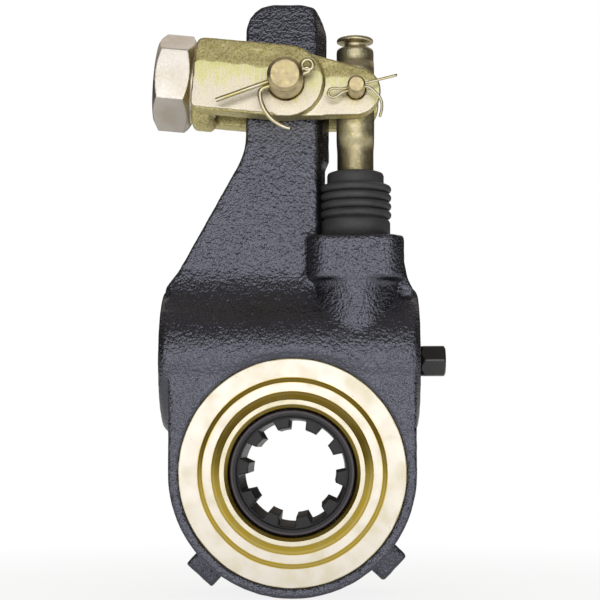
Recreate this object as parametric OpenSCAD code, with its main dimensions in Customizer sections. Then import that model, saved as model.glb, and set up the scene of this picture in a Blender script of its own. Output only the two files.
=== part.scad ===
// Automatic brake slack adjuster with a clevis, an actuator rod and a worm drive.
// Millimetres, Z up. The splined bore runs along Y and its centre is the origin.
// The front of the adjuster, with the clevis cotters, faces -Y.

/* [Gear body] */
// Outer radius of the round gear body
body_r = 44; // [43:0.5:48]
// Width of the gear body between its two machined faces
body_w = 52; // [51:0.5:56]
// Radius of the stamped covers
cover_r = 40.3; // [38:0.1:41]
// Sheet thickness of the stamped covers
cover_t = 1.5; // [1:0.1:1.8]
// Reach of the two stop lugs beyond the gear body
lug_h = 7; // [4:0.5:10]
// Width of the stop lugs
lug_w = 12.6; // [8:0.2:16]

/* [Spline] */
// Number of spline teeth in the bore
spline_teeth = 10; // [8:1:12]
// Radius at the bottom of the spline spaces
spline_major_r = 19.05; // [18:0.05:19.3]
// Radius at the tips of the spline teeth
spline_minor_r = 15.7; // [14.5:0.1:16.5]
// Width of one spline space, which has parallel sides
spline_space_w = 5.94; // [4:0.02:6.2]
// Angle of the first spline tooth, seen from the front
spline_phase = -6; // [-18:1:18]

/* [Worm tube] */
// How far the round worm tube stands proud of the gear body's faces
tube_proud = 0.8; // [0.4:0.1:2]
// Reach of the worm tube to the left of the bore
tube_left = 48; // [46:0.5:52]
// Reach of the worm tube to the right of the bore
tube_right = 45.7; // [45:0.1:48]

/* [Arm] */
// Distance from the bore up to the arm's eye
arm_len = 139.7; // [130:0.1:152.4]
// Sideways place of the arm's eye
eye_x = -2.4; // [-3:0.1:-1]
// Thickness of the arm
arm_t = 14; // [12:0.5:15]
// Place of the arm's middle plane along the bore
arm_y = -8; // [-8.5:0.1:-7]
// Half width of the arm at its eye
arm_half = 15; // [14.5:0.1:15.5]
// Reach of the arm above its eye
arm_top = 32.5; // [24:0.5:34]
// Lean of the arm's long left edge
arm_slope = 28.9; // [24:0.1:30]
// Width of the bevel down the arm's right side
arm_bevel = 5; // [2:0.5:5]
// Radius of the blend from the arm to the worm tube
arm_blend = 12; // [8:0.5:14]

/* [Actuator boss] */
// Width of the square boss under the boot
boss_w = 34.7; // [34:0.1:36]
// Height of the boss top above the bore
boss_top = 85; // [84:0.5:90]
// Height of the square part of the boss
boss_h = 16; // [12:0.5:20]
// Corner radius of the square boss
boss_corner = 7; // [4:0.5:9]

/* [Worm drive] */
// Number of teeth on the worm gear
gear_teeth = 31; // [31:1:31]
// Module of the worm and its gear
gear_module = 2; // [2:0.01:2.01]
// Pitch radius of the worm
worm_pitch_r = 10; // [10:0.05:10.1]
// Place of the worm axis along the bore
worm_y = 7; // [6.8:0.1:7.2]
// Width of the toothed part of the gear
gear_w = 38; // [34:0.5:39]
// Size of the adjusting hex across its flats
adjust_af = 11.11; // [10:0.01:11.2]
// Length of the adjusting hex
adjust_len = 9.5; // [7:0.5:12]

/* [Actuator drive] */
// Number of helical teeth on the worm shaft pinion
pinion_teeth = 7; // [7:1:7]
// Number of helical teeth on the actuator sleeve
sleeve_teeth = 11; // [11:1:11]
// Bore radius of the actuator sleeve
sleeve_bore_r = 6.5; // [6.3:0.05:6.6]

/* [Clevis] */
// Tilt of the clevis as the adjuster is shown, right end down
clevis_tilt = 5.5; // [3:0.1:6]
// Distance between the large and the small clevis pin
pin_gap = 25.4; // [25:0.1:26]
// Opening between the two ears
fork_gap = 17; // [16.8:0.1:18]
// Thickness of an ear at the large pin
ear_t = 10; // [8:0.5:11]
// Step back of the ear's end at the small pin
ear_step = 3; // [1:0.5:4]
// Radius of the ear around the small pin
ear_end_r = 9; // [8:0.1:10]
// Height of the ear above the clevis axis
ear_up = 14.4; // [13:0.1:15]
// Depth of the ear below the clevis axis
ear_down = 12.5; // [11.5:0.1:13]
// Distance from the large pin to the throat of the fork
throat = 25.7; // [24:0.1:28]
// Thickness of the round base behind the throat
base_t = 8; // [7:0.5:12]
// Radius of the round base
base_r = 16.8; // [15.8:0.1:18]
// Size of the collar hex across its flats
collar_af = 31.75; // [29:0.05:34]
// Length of the collar hex
collar_len = 13.5; // [10:0.5:16]
// Radius of the collar's threaded hole at its thread crests
collar_hole_r = 7.2; // [6:0.05:8]

/* [Pins] */
// Diameter of the large clevis pin
large_pin_d = 12.7; // [12:0.05:13]
// Free length of the large pin in front of the ear
large_pin_out = 13.5; // [11:0.5:16]
// Diameter of the small clevis pin
small_pin_d = 6.35; // [6:0.05:6.6]
// Free length of the small pin in front of the ear
small_pin_out = 11; // [9:0.5:13]
// Wire radius of the large cotter
large_wire_r = 0.8; // [0.6:0.05:0.9]
// Wire radius of the small cotter
small_wire_r = 0.5; // [0.4:0.05:0.55]

/* [Rod and boot] */
// Radius of the rod above the clevis
rod_r = 6.9; // [6.5:0.05:7]
// Reach of the rod above the small pin
rod_up = 23; // [18:0.2:26]
// Outer radius of the boot's folds
boot_r = 13.2; // [12.5:0.1:13.5]
// Height of the boot
boot_h = 24.6; // [23:0.2:26]
// Number of folds in the boot
boot_folds = 4; // [3:1:4]

/* [Fits] */
// Radial play of a turning or sliding fit
run = 0.06; // [0.03:0.01:0.08]
// Gap left where two fixed pieces meet
seat = 0.05; // [0.02:0.01:0.08]
// Gap between pieces that pass each other
pass = 0.4; // [0.35:0.05:0.5]

/* [Hidden] */
$fn = 96;
eps = 0.01;
pressure_angle = 20;
cast_black = [0.13, 0.13, 0.14];
zinc_yellow = [0.82, 0.76, 0.5];
bare_steel = [0.62, 0.62, 0.6];
dark_steel = [0.24, 0.24, 0.26];
bronze = [0.66, 0.47, 0.24];
rubber_black = [0.16, 0.16, 0.17];

// Worm and gear
gear_r = gear_teeth * gear_module / 2;
tooth_add = 0.9 * gear_module;
tooth_ded = 1.2 * gear_module;
tooth_play = 0.1 * gear_module;
gear_tip_r = gear_r + tooth_add;
gear_root_r = gear_r - tooth_ded;
worm_tip_r = worm_pitch_r + tooth_add;
worm_root_r = worm_pitch_r - tooth_ded;
worm_lead = PI * gear_module;
worm_z = gear_r + worm_pitch_r;
worm_bore_r = worm_tip_r + 0.6;
lead_angle = atan(worm_lead / (2 * PI * worm_pitch_r));
gear_twist = gear_w * tan(lead_angle) / gear_r * 180 / PI;
thread_left = -18;
thread_right = 13;

// Gear body
face_y = body_w / 2;
tube_r = face_y + tube_proud;
cavity_r = gear_tip_r + 0.8;
recess = 2;
seat_y = face_y - recess;
hub_r = 22.2;
hub_end = face_y + 1;
bushing_out = 1;
rim_chamfer = 1.6;
tube_chamfer = 2;
lug_t = 10;
lug_root = 6;
lug_angles = [43.5, 132.5];

// Covers, from the rim inwards to the turned-down lip
cover_rim_w = 6.9;
cover_step_w = 1.5;
cover_step_h = 1.2;
cover_flat_w = 3.2;
cover_cone_w = 2.3;
cover_cone_h = 2.1;
cover_edge = 0.4;
lip_turn = 2.1;
hub_chamfer = 0.7;
spline_mouth = 3;
spline_relief = 0.8;
seal_wire = 1.25;

// Foot of the arm's leaning left edge
bend_drop = 23;
bend_z = arm_len - bend_drop;
foot_z = worm_z + tube_r;
foot_x = eye_x - arm_half - (bend_z - foot_z) * tan(arm_slope);
arm_corner = 8;
arm_bend_r = 24;
heel_rise = 6;
heel_out = 2.2;
bushing_wall = 3;

// Actuator boss and its gusset
barrel_r = boss_w / 2 - 0.3;
gusset_front = 7;
gusset_back = 11;
gusset_low = 6;
gusset_edge = 2.5;

// Linkage
rod_x = eye_x + pin_gap * cos(clevis_tilt);
small_pin_z = arm_len - pin_gap * sin(clevis_tilt);
swing_down = 12;
slip_left = pin_gap * (cos(clevis_tilt) - cos(clevis_tilt + swing_down));
slip_right = pin_gap * (1 - cos(clevis_tilt));

// Actuator drive, two helical gears at 45 degrees on crossed shafts
drive_gap = worm_y - arm_y;
pinion_r = drive_gap * pinion_teeth / (pinion_teeth + sleeve_teeth);
sleeve_r = drive_gap * sleeve_teeth / (pinion_teeth + sleeve_teeth);
drive_module = 2 * pinion_r / pinion_teeth;
drive_add = 0.6 * drive_module;
drive_ded = 0.8 * drive_module;
drive_play = 0.16 * drive_module;
drive_angle = atan(tan(pressure_angle) / cos(45));
sleeve_tip_r = sleeve_r + drive_add;
sleeve_bore_z = 38.2;
sleeve_low = 35.6;
sleeve_teeth_top = 67;
sleeve_top = 72;
actuator_bore_r = sleeve_tip_r + pass;
pinion_left = 14.2;
pinion_right = 33;

// Worm shaft
shaft_left = -38;
journal_left_r = 7.9;
journal_right_r = 6.5;
shoulder_x = 35.5;
seal_depth = 3;
seal_x = tube_right - seal_depth;
seal_r = 9;
neck_r = 5.2;
hex_gap = 1.3;
journal_chamfer = 0.7;
journal_right_len = 8.4;
worm_bushing_len = 14;
plug_inset = 0.4;
plug_wall = 3;
plug_depth = 2;

// Grease fitting
fitting_x = -30;
fitting_r = 3;
fitting_clear = 1.4;
fitting_stub = tube_r - worm_y - worm_bore_r - fitting_clear;
fitting_af = 8;
fitting_hex_h = 3.4;
fitting_tip_h = 6.8;
fitting_bore_r = 0.8;

// Piston and pawl
piston_low = 46;
piston_h = 10;
piston_r = sleeve_bore_r - run;
piston_edge = 0.6;
piston_web = 1.6;
roller_r = 2;
roller_z = 51;
tongue_t = 5;
ring_z = 68.2;
pawl_z = 61.2;
pawl_r = 5.2;
pawl_boss_r = 10.5;
pawl_face_y = face_y + 1;
pawl_tip_y = arm_y + sleeve_tip_r + pass;
pawl_len = 7;
pawl_nose = 1.4;
pawl_slope = 55;
spring_seat_r = 2;
spring_seat_h = 3;
spring_wire = 0.6;
spring_r = 3.4;
spring_turns = 4;
cap_depth = 8;
cap_y = face_y - cap_depth;
pawl_shoulder_y = pawl_tip_y + pawl_len;
cap_thread_r = pawl_r + 1;
cap_af = 15.9;
cap_head_h = 5;
cap_pocket_r = 2.4;
cap_pocket_h = 5;
gasket_r = 8.6;
gasket_t = 1.2;

// Clevis
ear_in = fork_gap / 2;
ear_out = ear_in + ear_t;
ear_inset = 0.4;
ear_draft = 13;
ear_chamfer = 2;
ear_corner = 3;
mill_line = 5;
end_mill_line = 4.5;
base_back = throat + base_t;
shank_r = 12;
base_edge = 1.2;
web_back = 4;
collar_gap = 1;
collar_face_r = 14.5;
collar_edge = 0.9;
collar_near = base_back + collar_gap;
collar_far = collar_near + collar_len;

// Clevis pins
large_head_r = 9.2;
large_head_h = 5;
small_head_r = 5;
small_head_h = 3;
head_edge = 0.6;
hole_play = 0.15;
large_hole_y = -ear_out - 0.5 * large_pin_out;
small_hole_y = -ear_out + ear_step - 0.5 * small_pin_out;

// Split cotters: eye, straight leg, and the leg that is turned back
large_turn = -25.3;
large_eye_r = 1.9;
large_eye_out = 1.8;
large_eye_turn = 65;
large_leg = 26;
large_bend_x = 8.4;
large_bend_r = 2.2;
large_bend_angle = 75;
large_tail_r = 14;
large_tail_angle = 72;
small_turn = 160;
small_eye_r = 1.3;
small_eye_out = 5;
small_eye_turn = 0;
small_leg = 14.4;
small_bend_x = 4.3;
small_bend_r = 4;
small_bend_angle = 90;
small_tail_r = 24;
small_tail_angle = 22;

// Rod and boot
shank_small_r = 4.2;
rod_block_y = ear_in - pass;
rod_waist_r = 6.8;
boot_top = boss_top + boot_h;
boot_relief = 0.6;
rod_block_low = 15.5;
rod_block_high = 11;
rod_shoulder = 3;
rod_heel = 3;
rod_edge = 0.7;
rod_cap_h = 1.8;
rod_neck_r = 3.8;
rod_neck_h = 2.2;
slot_play = 0.2;
boot_collar_r = 10.45;
boot_foot_r = 12.75;
boot_foot_h = 7.2;
boot_neck_h = 4.6;
fold_pitch = (boot_h - boot_foot_h - boot_neck_h) / boot_folds;
fold_r = 0.52 * fold_pitch;
boot_edge = 0.9;
boot_wall = 1.6;

// Shared placements

// Turns a solid built along Z to point along Y
module along_y() {
    rotate([-90, 0, 0]) children();
}

// Turns a solid built along Z to point along X
module along_x() {
    rotate([0, 90, 0]) children();
}

// Places a plate drawn as x and z, with its front and back given along Y
module plate(front, back) {
    translate([0, back, 0]) rotate([90, 0, 0]) linear_extrude(height = back - front) children();
}

// The worm axis
module on_worm() {
    translate([0, worm_y, worm_z]) children();
}

// The actuator axis
module on_actuator() {
    translate([rod_x, arm_y, 0]) children();
}

// The clevis with the large pin at its origin and its axis along X
module on_clevis() {
    translate([eye_x, arm_y, arm_len]) rotate([0, clevis_tilt, 0]) children();
}

// The rear side as a mirror of the front side
module on_rear() {
    mirror([0, 1, 0]) children();
}

// Shared shapes

// A round bar with chamfered ends
module chamfered_bar(r, h, c) {
    rotate_extrude()
        polygon([[0, 0], [r - c, 0], [r, c], [r, h - c], [r - c, h], [0, h]]);
}

// A flat ring
module ring(outer, inner, h) {
    difference() {
        cylinder(r = outer, h = h);
        translate([0, 0, -1]) cylinder(r = inner, h = h + 2);
    }
}

// The hollow of a corner at b between a and c, filled with a radius
module corner_fill(a, b, c, r) {
    u = (a - b) / norm(a - b);
    v = (c - b) / norm(c - b);
    half = acos(u * v) / 2;
    reach = r / tan(half);
    centre = b + (u + v) / norm(u + v) * r / sin(half);
    difference() {
        polygon([b - 0.3 * (u + v), b + reach * u, b + reach * v]);
        translate(centre) circle(r = r);
    }
}

// A hexagonal head along Z with both ends turned round
module turned_hex(af, h, c) {
    corner_r = af / sqrt(3);
    end_r = af / 2 - c;
    slope_h = (corner_r - end_r) * tan(30);
    intersection() {
        cylinder(r = corner_r, h = h, $fn = 6);
        rotate_extrude()
            polygon([
                [0, 0], [end_r, 0], [corner_r, slope_h],
                [corner_r, h - slope_h], [end_r, h], [0, h]
            ]);
    }
}

// Point where a line from p, on the upper side, meets the rounded end at the small pin
function tangent_up(p) =
    let (
        away = norm([pin_gap, 0] - p),
        lean = asin(ear_end_r / away) - asin(p.y / away)
    ) [pin_gap, 0] + ear_end_r * [-sin(lean), cos(lean)];

// Tooth outlines

function polar(r, a) = [r * cos(a), r * sin(a)];

function involute(a) = tan(a) * 180 / PI - a;

// Half angle of an involute tooth at radius r
function tooth_half(r, pitch_r, angle, width) =
    width / (2 * pitch_r) * 180 / PI + involute(angle)
    - involute(acos(min(1, pitch_r * cos(angle) / r)));

// One flank of a tooth as root, middle and tip radii
function tooth_outline(n, pitch_r, angle, width, radii) = [
    for (k = [0:n - 1])
        each concat(
            [for (i = [0:2]) polar(radii[i], k * 360 / n - tooth_half(radii[i], pitch_r, angle, width))],
            [for (i = [2:-1:0]) polar(radii[i], k * 360 / n + tooth_half(radii[i], pitch_r, angle, width))]
        )
];

// Cross-section of a single-start worm, its crest at angle 0
function worm_outline() =
    let (
        flank = (tooth_add + tooth_ded) * tan(pressure_angle) / worm_lead * 360,
        crest = 90 - (tooth_add * tan(pressure_angle) + tooth_play / 2) / worm_lead * 360,
        foot = crest + flank
    ) [
        polar(worm_tip_r, 0),
        polar(worm_tip_r, crest / 2),
        polar(worm_tip_r, crest),
        polar(worm_tip_r - (tooth_add + tooth_ded) / 3, crest + flank / 3),
        polar(worm_tip_r - (tooth_add + tooth_ded) * 2 / 3, crest + flank * 2 / 3),
        polar(worm_root_r, foot),
        polar(worm_root_r, (foot + 180) / 2),
        polar(worm_root_r, 180),
        polar(worm_root_r, -(foot + 180) / 2),
        polar(worm_root_r, -foot),
        polar(worm_tip_r - (tooth_add + tooth_ded) * 2 / 3, -crest - flank * 2 / 3),
        polar(worm_tip_r - (tooth_add + tooth_ded) / 3, -crest - flank / 3),
        polar(worm_tip_r, -crest),
        polar(worm_tip_r, -crest / 2)
    ];

// Housing

// Front outline of the arm, rounded at its top and widened down to the worm tube
module arm_outline() {
    left = eye_x - arm_half;
    right = eye_x + arm_half;
    top = arm_len + arm_top;
    translate([left, worm_z]) square([right - left, top - arm_corner - worm_z]);
    translate([left + arm_corner, worm_z]) square([right - left - 2 * arm_corner, top - worm_z]);
    for (x = [left + arm_corner, right - arm_corner])
        translate([x, top - arm_corner]) circle(r = arm_corner);
    polygon([[left, bend_z], [foot_x, foot_z], [foot_x, worm_z], [left + 1, worm_z], [left + 1, bend_z]]);
    corner_fill([left, top], [left, bend_z], [foot_x, foot_z], arm_bend_r);
}

// Heel of the arm, spread along the top of the worm tube
module arm_heel() {
    run_in = heel_rise * tan(arm_slope) + 0.05 * heel_rise;
    plate(arm_y - arm_t / 2, arm_y + arm_t / 2)
        polygon([
            [foot_x - heel_out, worm_z], [foot_x - heel_out, foot_z - 0.64 * heel_out],
            [foot_x - 0.64 * heel_out, foot_z - 0.18 * heel_out],
            [foot_x + 0.09 * heel_out, foot_z + 0.82 * heel_out],
            [foot_x + run_in, foot_z + heel_rise], [foot_x + run_in, worm_z]
        ]);
}

// One side of the arm's section as depth and height, flared onto the worm tube by a radius
module arm_flare(face, side) {
    c_y = face + side * arm_blend;
    c_z = worm_z + sqrt((tube_r + arm_blend) ^ 2 - c_y ^ 2);
    touch = tube_r / (tube_r + arm_blend);
    difference() {
        polygon([
            [face - side, c_z], [face, c_z], [c_y, c_z],
            [c_y * touch, worm_z + (c_z - worm_z) * touch], [face - side, worm_z]
        ]);
        translate([c_y, c_z]) circle(r = arm_blend);
    }
}

// The arm as its front outline cut to its section and bevelled down the right side
module arm_solid() {
    front = arm_y - arm_t / 2;
    back = arm_y + arm_t / 2;
    top = arm_len + arm_top;
    right = eye_x + arm_half;
    intersection() {
        plate(-face_y, face_y) arm_outline();
        translate([-tube_left, 0, 0])
            rotate([90, 0, 90])
                linear_extrude(height = 2 * tube_left) {
                    translate([front, worm_z]) square([arm_t, top - worm_z]);
                    arm_flare(front, -1);
                    arm_flare(back, 1);
                }
        linear_extrude(height = top + 1)
            polygon([
                [-2 * tube_left, -2 * face_y], [right - 2 * arm_bevel, -2 * face_y],
                [right - 2 * arm_bevel, front - arm_t], [right - arm_bevel, front],
                [right, back], [right, 2 * face_y], [-2 * tube_left, 2 * face_y]
            ]);
    }
}

// Round gear body with straight sides up to the worm tube
module gear_body() {
    translate([0, -face_y, 0]) along_y() chamfered_bar(body_r, body_w, rim_chamfer);
    linear_extrude(height = worm_z)
        polygon([
            [-body_r, -face_y + rim_chamfer], [-body_r + rim_chamfer, -face_y],
            [body_r - rim_chamfer, -face_y], [body_r, -face_y + rim_chamfer],
            [body_r, face_y - rim_chamfer], [body_r - rim_chamfer, face_y],
            [-body_r + rim_chamfer, face_y], [-body_r, face_y - rim_chamfer]
        ]);
}

// Worm tube with softened ends
module worm_tube() {
    translate([-tube_left, 0, worm_z]) along_x() chamfered_bar(tube_r, tube_left + tube_right, tube_chamfer);
}

// Round barrel of the actuator with its square top
module actuator_boss() {
    flat = boss_w - 2 * boss_corner;
    on_actuator() {
        translate([0, 0, worm_z]) cylinder(r = barrel_r, h = boss_top - worm_z - 1);
        translate([0, 0, boss_top - boss_h]) {
            linear_extrude(height = boss_h) {
                square([boss_w, flat], center = true);
                square([flat, boss_w], center = true);
                for (x = [-1, 1], y = [-1, 1])
                    translate([x, y] * flat / 2) circle(r = boss_corner);
            }
        }
    }
}

// Gusset from the boss out to the right end of the worm tube
module boss_gusset() {
    low = worm_z + tube_r - gusset_low;
    inner = rod_x + boss_w / 2 - 0.8 * gusset_edge;
    outer = tube_right - 0.6 * gusset_edge;
    plate(arm_y - gusset_front, arm_y + gusset_back)
        polygon([
            [inner, low], [inner, boss_top - 2 * gusset_edge],
            [inner + 0.8 * gusset_edge, boss_top - 3.2 * gusset_edge],
            [outer - gusset_edge, low + 3.2 * gusset_edge],
            [outer, low + 1.2 * gusset_edge], [outer, low]
        ]);
}

// Two stop lugs on the lower rim
module stop_lugs() {
    for (a = lug_angles)
        rotate([0, a, 0])
            translate([body_r - lug_root, -lug_t / 2, -lug_w / 2])
                cube([lug_h + lug_root, lug_t, lug_w]);
}

// Round boss of the pawl on the rear side
module pawl_boss() {
    translate([rod_x, arm_y, pawl_z]) along_y() chamfered_bar(pawl_boss_r, pawl_face_y - arm_y, 0.8);
}

module housing_casting() {
    difference() {
        union() {
            gear_body();
            worm_tube();
            arm_solid();
            arm_heel();
            actuator_boss();
            boss_gusset();
            stop_lugs();
            pawl_boss();
        }
        for (y = [-face_y - 10, face_y])
            translate([0, y, 0]) along_y() cylinder(r = body_r - 1, h = 10);
        on_actuator() translate([0, 0, boss_top]) cylinder(r = boot_r + boot_relief, h = 2 * boot_h);
    }
}

module gear_cavity() {
    translate([0, -face_y - 1, 0]) along_y() cylinder(r = cavity_r, h = body_w + 2);
    for (y = [-face_y - 1, seat_y])
        translate([0, y, 0]) along_y() cylinder(r = cover_r + seat, h = recess + 1);
}

module worm_bore() {
    on_worm() {
        translate([-tube_left - 1, 0, 0]) along_x() cylinder(r = worm_bore_r, h = tube_left + 1 + shoulder_x);
        translate([shoulder_x - 1, 0, 0]) along_x() cylinder(r = journal_right_r + run, h = 20);
        translate([seal_x, 0, 0]) along_x() cylinder(r = seal_r + seat, h = 20);
    }
}

module actuator_bore() {
    on_actuator() translate([0, 0, sleeve_low - pass]) cylinder(r = actuator_bore_r, h = boss_top);
}

module pawl_bore() {
    translate([rod_x, arm_y, pawl_z]) along_y() cylinder(r = pawl_r + run, h = pawl_face_y - arm_y + 1);
    translate([rod_x, cap_y, pawl_z]) along_y() cylinder(r = cap_thread_r + seat, h = 2 * cap_depth);
}

module grease_hole() {
    translate([fitting_x, worm_y, worm_z]) along_y() cylinder(r = fitting_r + seat, h = tube_r);
}

module eye_hole() {
    translate([eye_x, arm_y - arm_t, arm_len])
        along_y() cylinder(r = large_pin_d / 2 + bushing_wall + seat, h = 2 * arm_t);
}

module housing() {
    color(cast_black)
        difference() {
            housing_casting();
            gear_cavity();
            worm_bore();
            actuator_bore();
            pawl_bore();
            grease_hole();
            eye_hole();
        }
}

module arm_bushing() {
    color(bronze)
        translate([eye_x, arm_y - arm_t / 2, arm_len])
            along_y() ring(large_pin_d / 2 + bushing_wall, large_pin_d / 2 + run, arm_t);
}

// Covers, seals and gear bushings

// Section of a stamped cover as radius and height above its seat
module cover_section() {
    t = cover_t;
    lip = hub_r + pass;
    step = cover_r - cover_rim_w;
    shelf = step - cover_step_w;
    cone = shelf - cover_flat_w;
    crown = cone - cover_cone_w;
    shelf_h = t + cover_step_h;
    cone_h = shelf_h + cover_cone_h;
    top = cone_h + cover_edge;
    polygon([
        [cover_r, 0], [cover_r, t - cover_edge], [cover_r - cover_edge, t], [step, t], [shelf, shelf_h],
        [cone, shelf_h], [crown, cone_h], [crown - 2 * cover_edge, top], [lip + lip_turn, top],
        [lip + 0.43 * lip_turn, cone_h], [lip + 0.07 * lip_turn, cone_h - 0.4 * lip_turn],
        [lip, cone_h - 0.9 * lip_turn], [lip, t + 0.1 * lip_turn], [lip + 0.9 * t, t + 0.1 * lip_turn],
        [lip + 0.9 * t, cone_h - 0.67 * lip_turn], [crown - 0.8 * t, cone_h - 0.8 * t],
        [cone - 0.4 * t, cover_step_h], [shelf - 0.47 * t, cover_step_h], [step - 0.47 * t, 0]
    ]);
}

module cover() {
    color(zinc_yellow)
        translate([0, -seat_y, 0]) rotate([90, 0, 0]) rotate_extrude() cover_section();
}

module front_cover() {
    cover();
}

module rear_cover() {
    on_rear() cover();
}

// Rubber ring between the gear hub, the bushing and the cover's lip
module hub_seal() {
    color(rubber_black)
        translate([0, -seat_y + bushing_out - seal_wire - seat, 0])
            rotate([90, 0, 0])
                rotate_extrude() translate([hub_r + 3 * seat + seal_wire, 0]) circle(r = seal_wire, $fn = 48);
}

module front_seal() {
    hub_seal();
}

module rear_seal() {
    on_rear() hub_seal();
}

// Bronze ring that carries the gear hub in the gear cavity
module gear_bushing() {
    far = seat_y - bushing_out;
    near = gear_w / 2 + run;
    color(bronze)
        translate([0, -far, 0]) along_y() ring(cavity_r - seat, hub_r + run, far - near);
}

module front_gear_bushing() {
    gear_bushing();
}

module rear_gear_bushing() {
    on_rear() gear_bushing();
}

// Worm gear with the splined bore

// Bore outline: spaces with parallel sides for the camshaft, so that the teeth between them taper
module spline_space() {
    circle(r = spline_minor_r);
    intersection() {
        circle(r = spline_major_r);
        for (k = [0:spline_teeth - 1])
            rotate(spline_phase + (k + 0.5) * 360 / spline_teeth)
                translate([0, -spline_space_w / 2]) square([spline_major_r + 1, spline_space_w]);
    }
}

module gear_teeth_ring() {
    phase = -90 + 180 / gear_teeth - gear_twist * (gear_w / 2 + worm_y) / gear_w;
    width = PI * gear_module / 2 - tooth_play;
    translate([0, -gear_w / 2, 0])
        along_y()
            rotate(phase)
                linear_extrude(height = gear_w, twist = -gear_twist, slices = 4, segments = 6 * gear_teeth)
                    polygon(tooth_outline(gear_teeth, gear_r, pressure_angle, width,
                        [gear_root_r, gear_r, gear_tip_r]));
}

module worm_gear() {
    color(dark_steel)
        difference() {
            union() {
                gear_teeth_ring();
                translate([0, -hub_end, 0]) along_y() chamfered_bar(hub_r, 2 * hub_end, hub_chamfer);
            }
            plate(-hub_end - 1, hub_end + 1) spline_space();
            for (y = [-hub_end - 1, hub_end - spline_mouth])
                translate([0, y, 0])
                    along_y() cylinder(r = spline_major_r + spline_relief, h = spline_mouth + 1);
        }
}

// Worm shaft

module worm_thread() {
    turns = (thread_right - thread_left) / worm_lead;
    translate([thread_left, 0, 0])
        along_x()
            rotate(360 * thread_left / worm_lead)
                linear_extrude(height = thread_right - thread_left, twist = -360 * turns,
                        slices = round(16 * turns), segments = 14)
                    polygon(worm_outline());
}

module pinion() {
    twist_rate = 180 / (PI * pinion_r);
    length = pinion_right - pinion_left;
    width = PI * drive_module / 2 - drive_play;
    translate([pinion_left, 0, 0])
        along_x()
            rotate(-90 - twist_rate * (rod_x - pinion_left))
                linear_extrude(height = length, twist = -twist_rate * length, slices = 18,
                        segments = 6 * pinion_teeth)
                    polygon(tooth_outline(pinion_teeth, pinion_r, drive_angle, width,
                        [pinion_r - drive_ded, pinion_r, pinion_r + drive_add]));
}

module worm_shaft() {
    hex_start = tube_right + hex_gap;
    color(dark_steel)
        on_worm() {
            translate([shaft_left, 0, 0])
                along_x() chamfered_bar(journal_left_r, thread_left - shaft_left, journal_chamfer);
            worm_thread();
            translate([thread_right - eps, 0, 0]) along_x() cylinder(r = pinion_r - drive_ded - 0.3, h = 2);
            pinion();
            translate([pinion_right - eps, 0, 0])
                along_x() chamfered_bar(journal_right_r, journal_right_len, journal_chamfer);
            translate([pinion_right + 1, 0, 0]) along_x() cylinder(r = neck_r, h = hex_start - pinion_right);
            translate([hex_start, 0, 0]) along_x() turned_hex(adjust_af, adjust_len, journal_chamfer);
        }
}

module worm_bushing() {
    color(bronze)
        on_worm()
            translate([shaft_left, 0, 0])
                along_x() ring(worm_bore_r - seat, journal_left_r + run, worm_bushing_len);
}

// Pressed cup plug that closes the left end of the worm tube
module worm_plug() {
    near = shaft_left - run;
    far = -tube_left + plug_inset;
    color(dark_steel)
        on_worm()
            difference() {
                translate([far, 0, 0])
                    along_x() chamfered_bar(worm_bore_r - seat, near - far, journal_chamfer);
                translate([far - 1, 0, 0])
                    along_x() cylinder(r = worm_bore_r - plug_wall, h = plug_depth + 1);
            }
}

module worm_seal() {
    color(rubber_black)
        on_worm()
            translate([seal_x + seat, 0, 0])
                along_x() ring(seal_r, neck_r + run, seal_depth - plug_inset);
}

// Actuator

module sleeve_teeth_ring() {
    twist_rate = 180 / (PI * sleeve_r);
    length = sleeve_teeth_top - sleeve_low;
    width = PI * drive_module / 2 - drive_play;
    translate([0, 0, sleeve_low])
        rotate(90 + 180 / sleeve_teeth - twist_rate * (worm_z - sleeve_low))
            linear_extrude(height = length, twist = -twist_rate * length, slices = 20,
                    segments = 6 * sleeve_teeth)
                polygon(tooth_outline(sleeve_teeth, sleeve_r, drive_angle, width,
                    [sleeve_r - drive_ded, sleeve_r, sleeve_tip_r]));
}

module actuator_sleeve() {
    color(bare_steel)
        on_actuator()
            difference() {
                union() {
                    sleeve_teeth_ring();
                    translate([0, 0, sleeve_teeth_top - eps])
                        cylinder(r = sleeve_tip_r - 0.3, h = sleeve_top - sleeve_teeth_top);
                }
                translate([0, 0, sleeve_bore_z]) cylinder(r = sleeve_bore_r, h = sleeve_top);
                translate([0, 0, sleeve_low - 1]) cylinder(r = 2, h = 10);
                translate([0, 0, ring_z]) cylinder(r = sleeve_bore_r + 0.8, h = 1.3);
            }
}

module retaining_ring() {
    color(dark_steel)
        on_actuator()
            translate([0, 0, ring_z + seat])
                difference() {
                    ring(sleeve_bore_r + 0.8 - seat, sleeve_bore_r - 0.8, 1.2);
                    translate([-1.5, 0, -1]) cube([3, 20, 4]);
                }
}

module piston() {
    color(bare_steel)
        on_actuator()
            difference() {
                translate([0, 0, piston_low]) chamfered_bar(piston_r, piston_h, piston_edge);
                translate([-piston_h, -tongue_t / 2 - pass, piston_low + piston_web])
                    cube([2 * piston_h, tongue_t + 2 * pass, piston_h]);
                translate([0, -piston_h, roller_z]) along_y() cylinder(r = roller_r + seat, h = 2 * piston_h);
            }
}

module roller_pin() {
    length = 2 * piston_r - 2 * piston_edge;
    color(dark_steel)
        on_actuator()
            translate([0, -length / 2, roller_z]) along_y() chamfered_bar(roller_r, length, piston_edge / 2);
}

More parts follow.
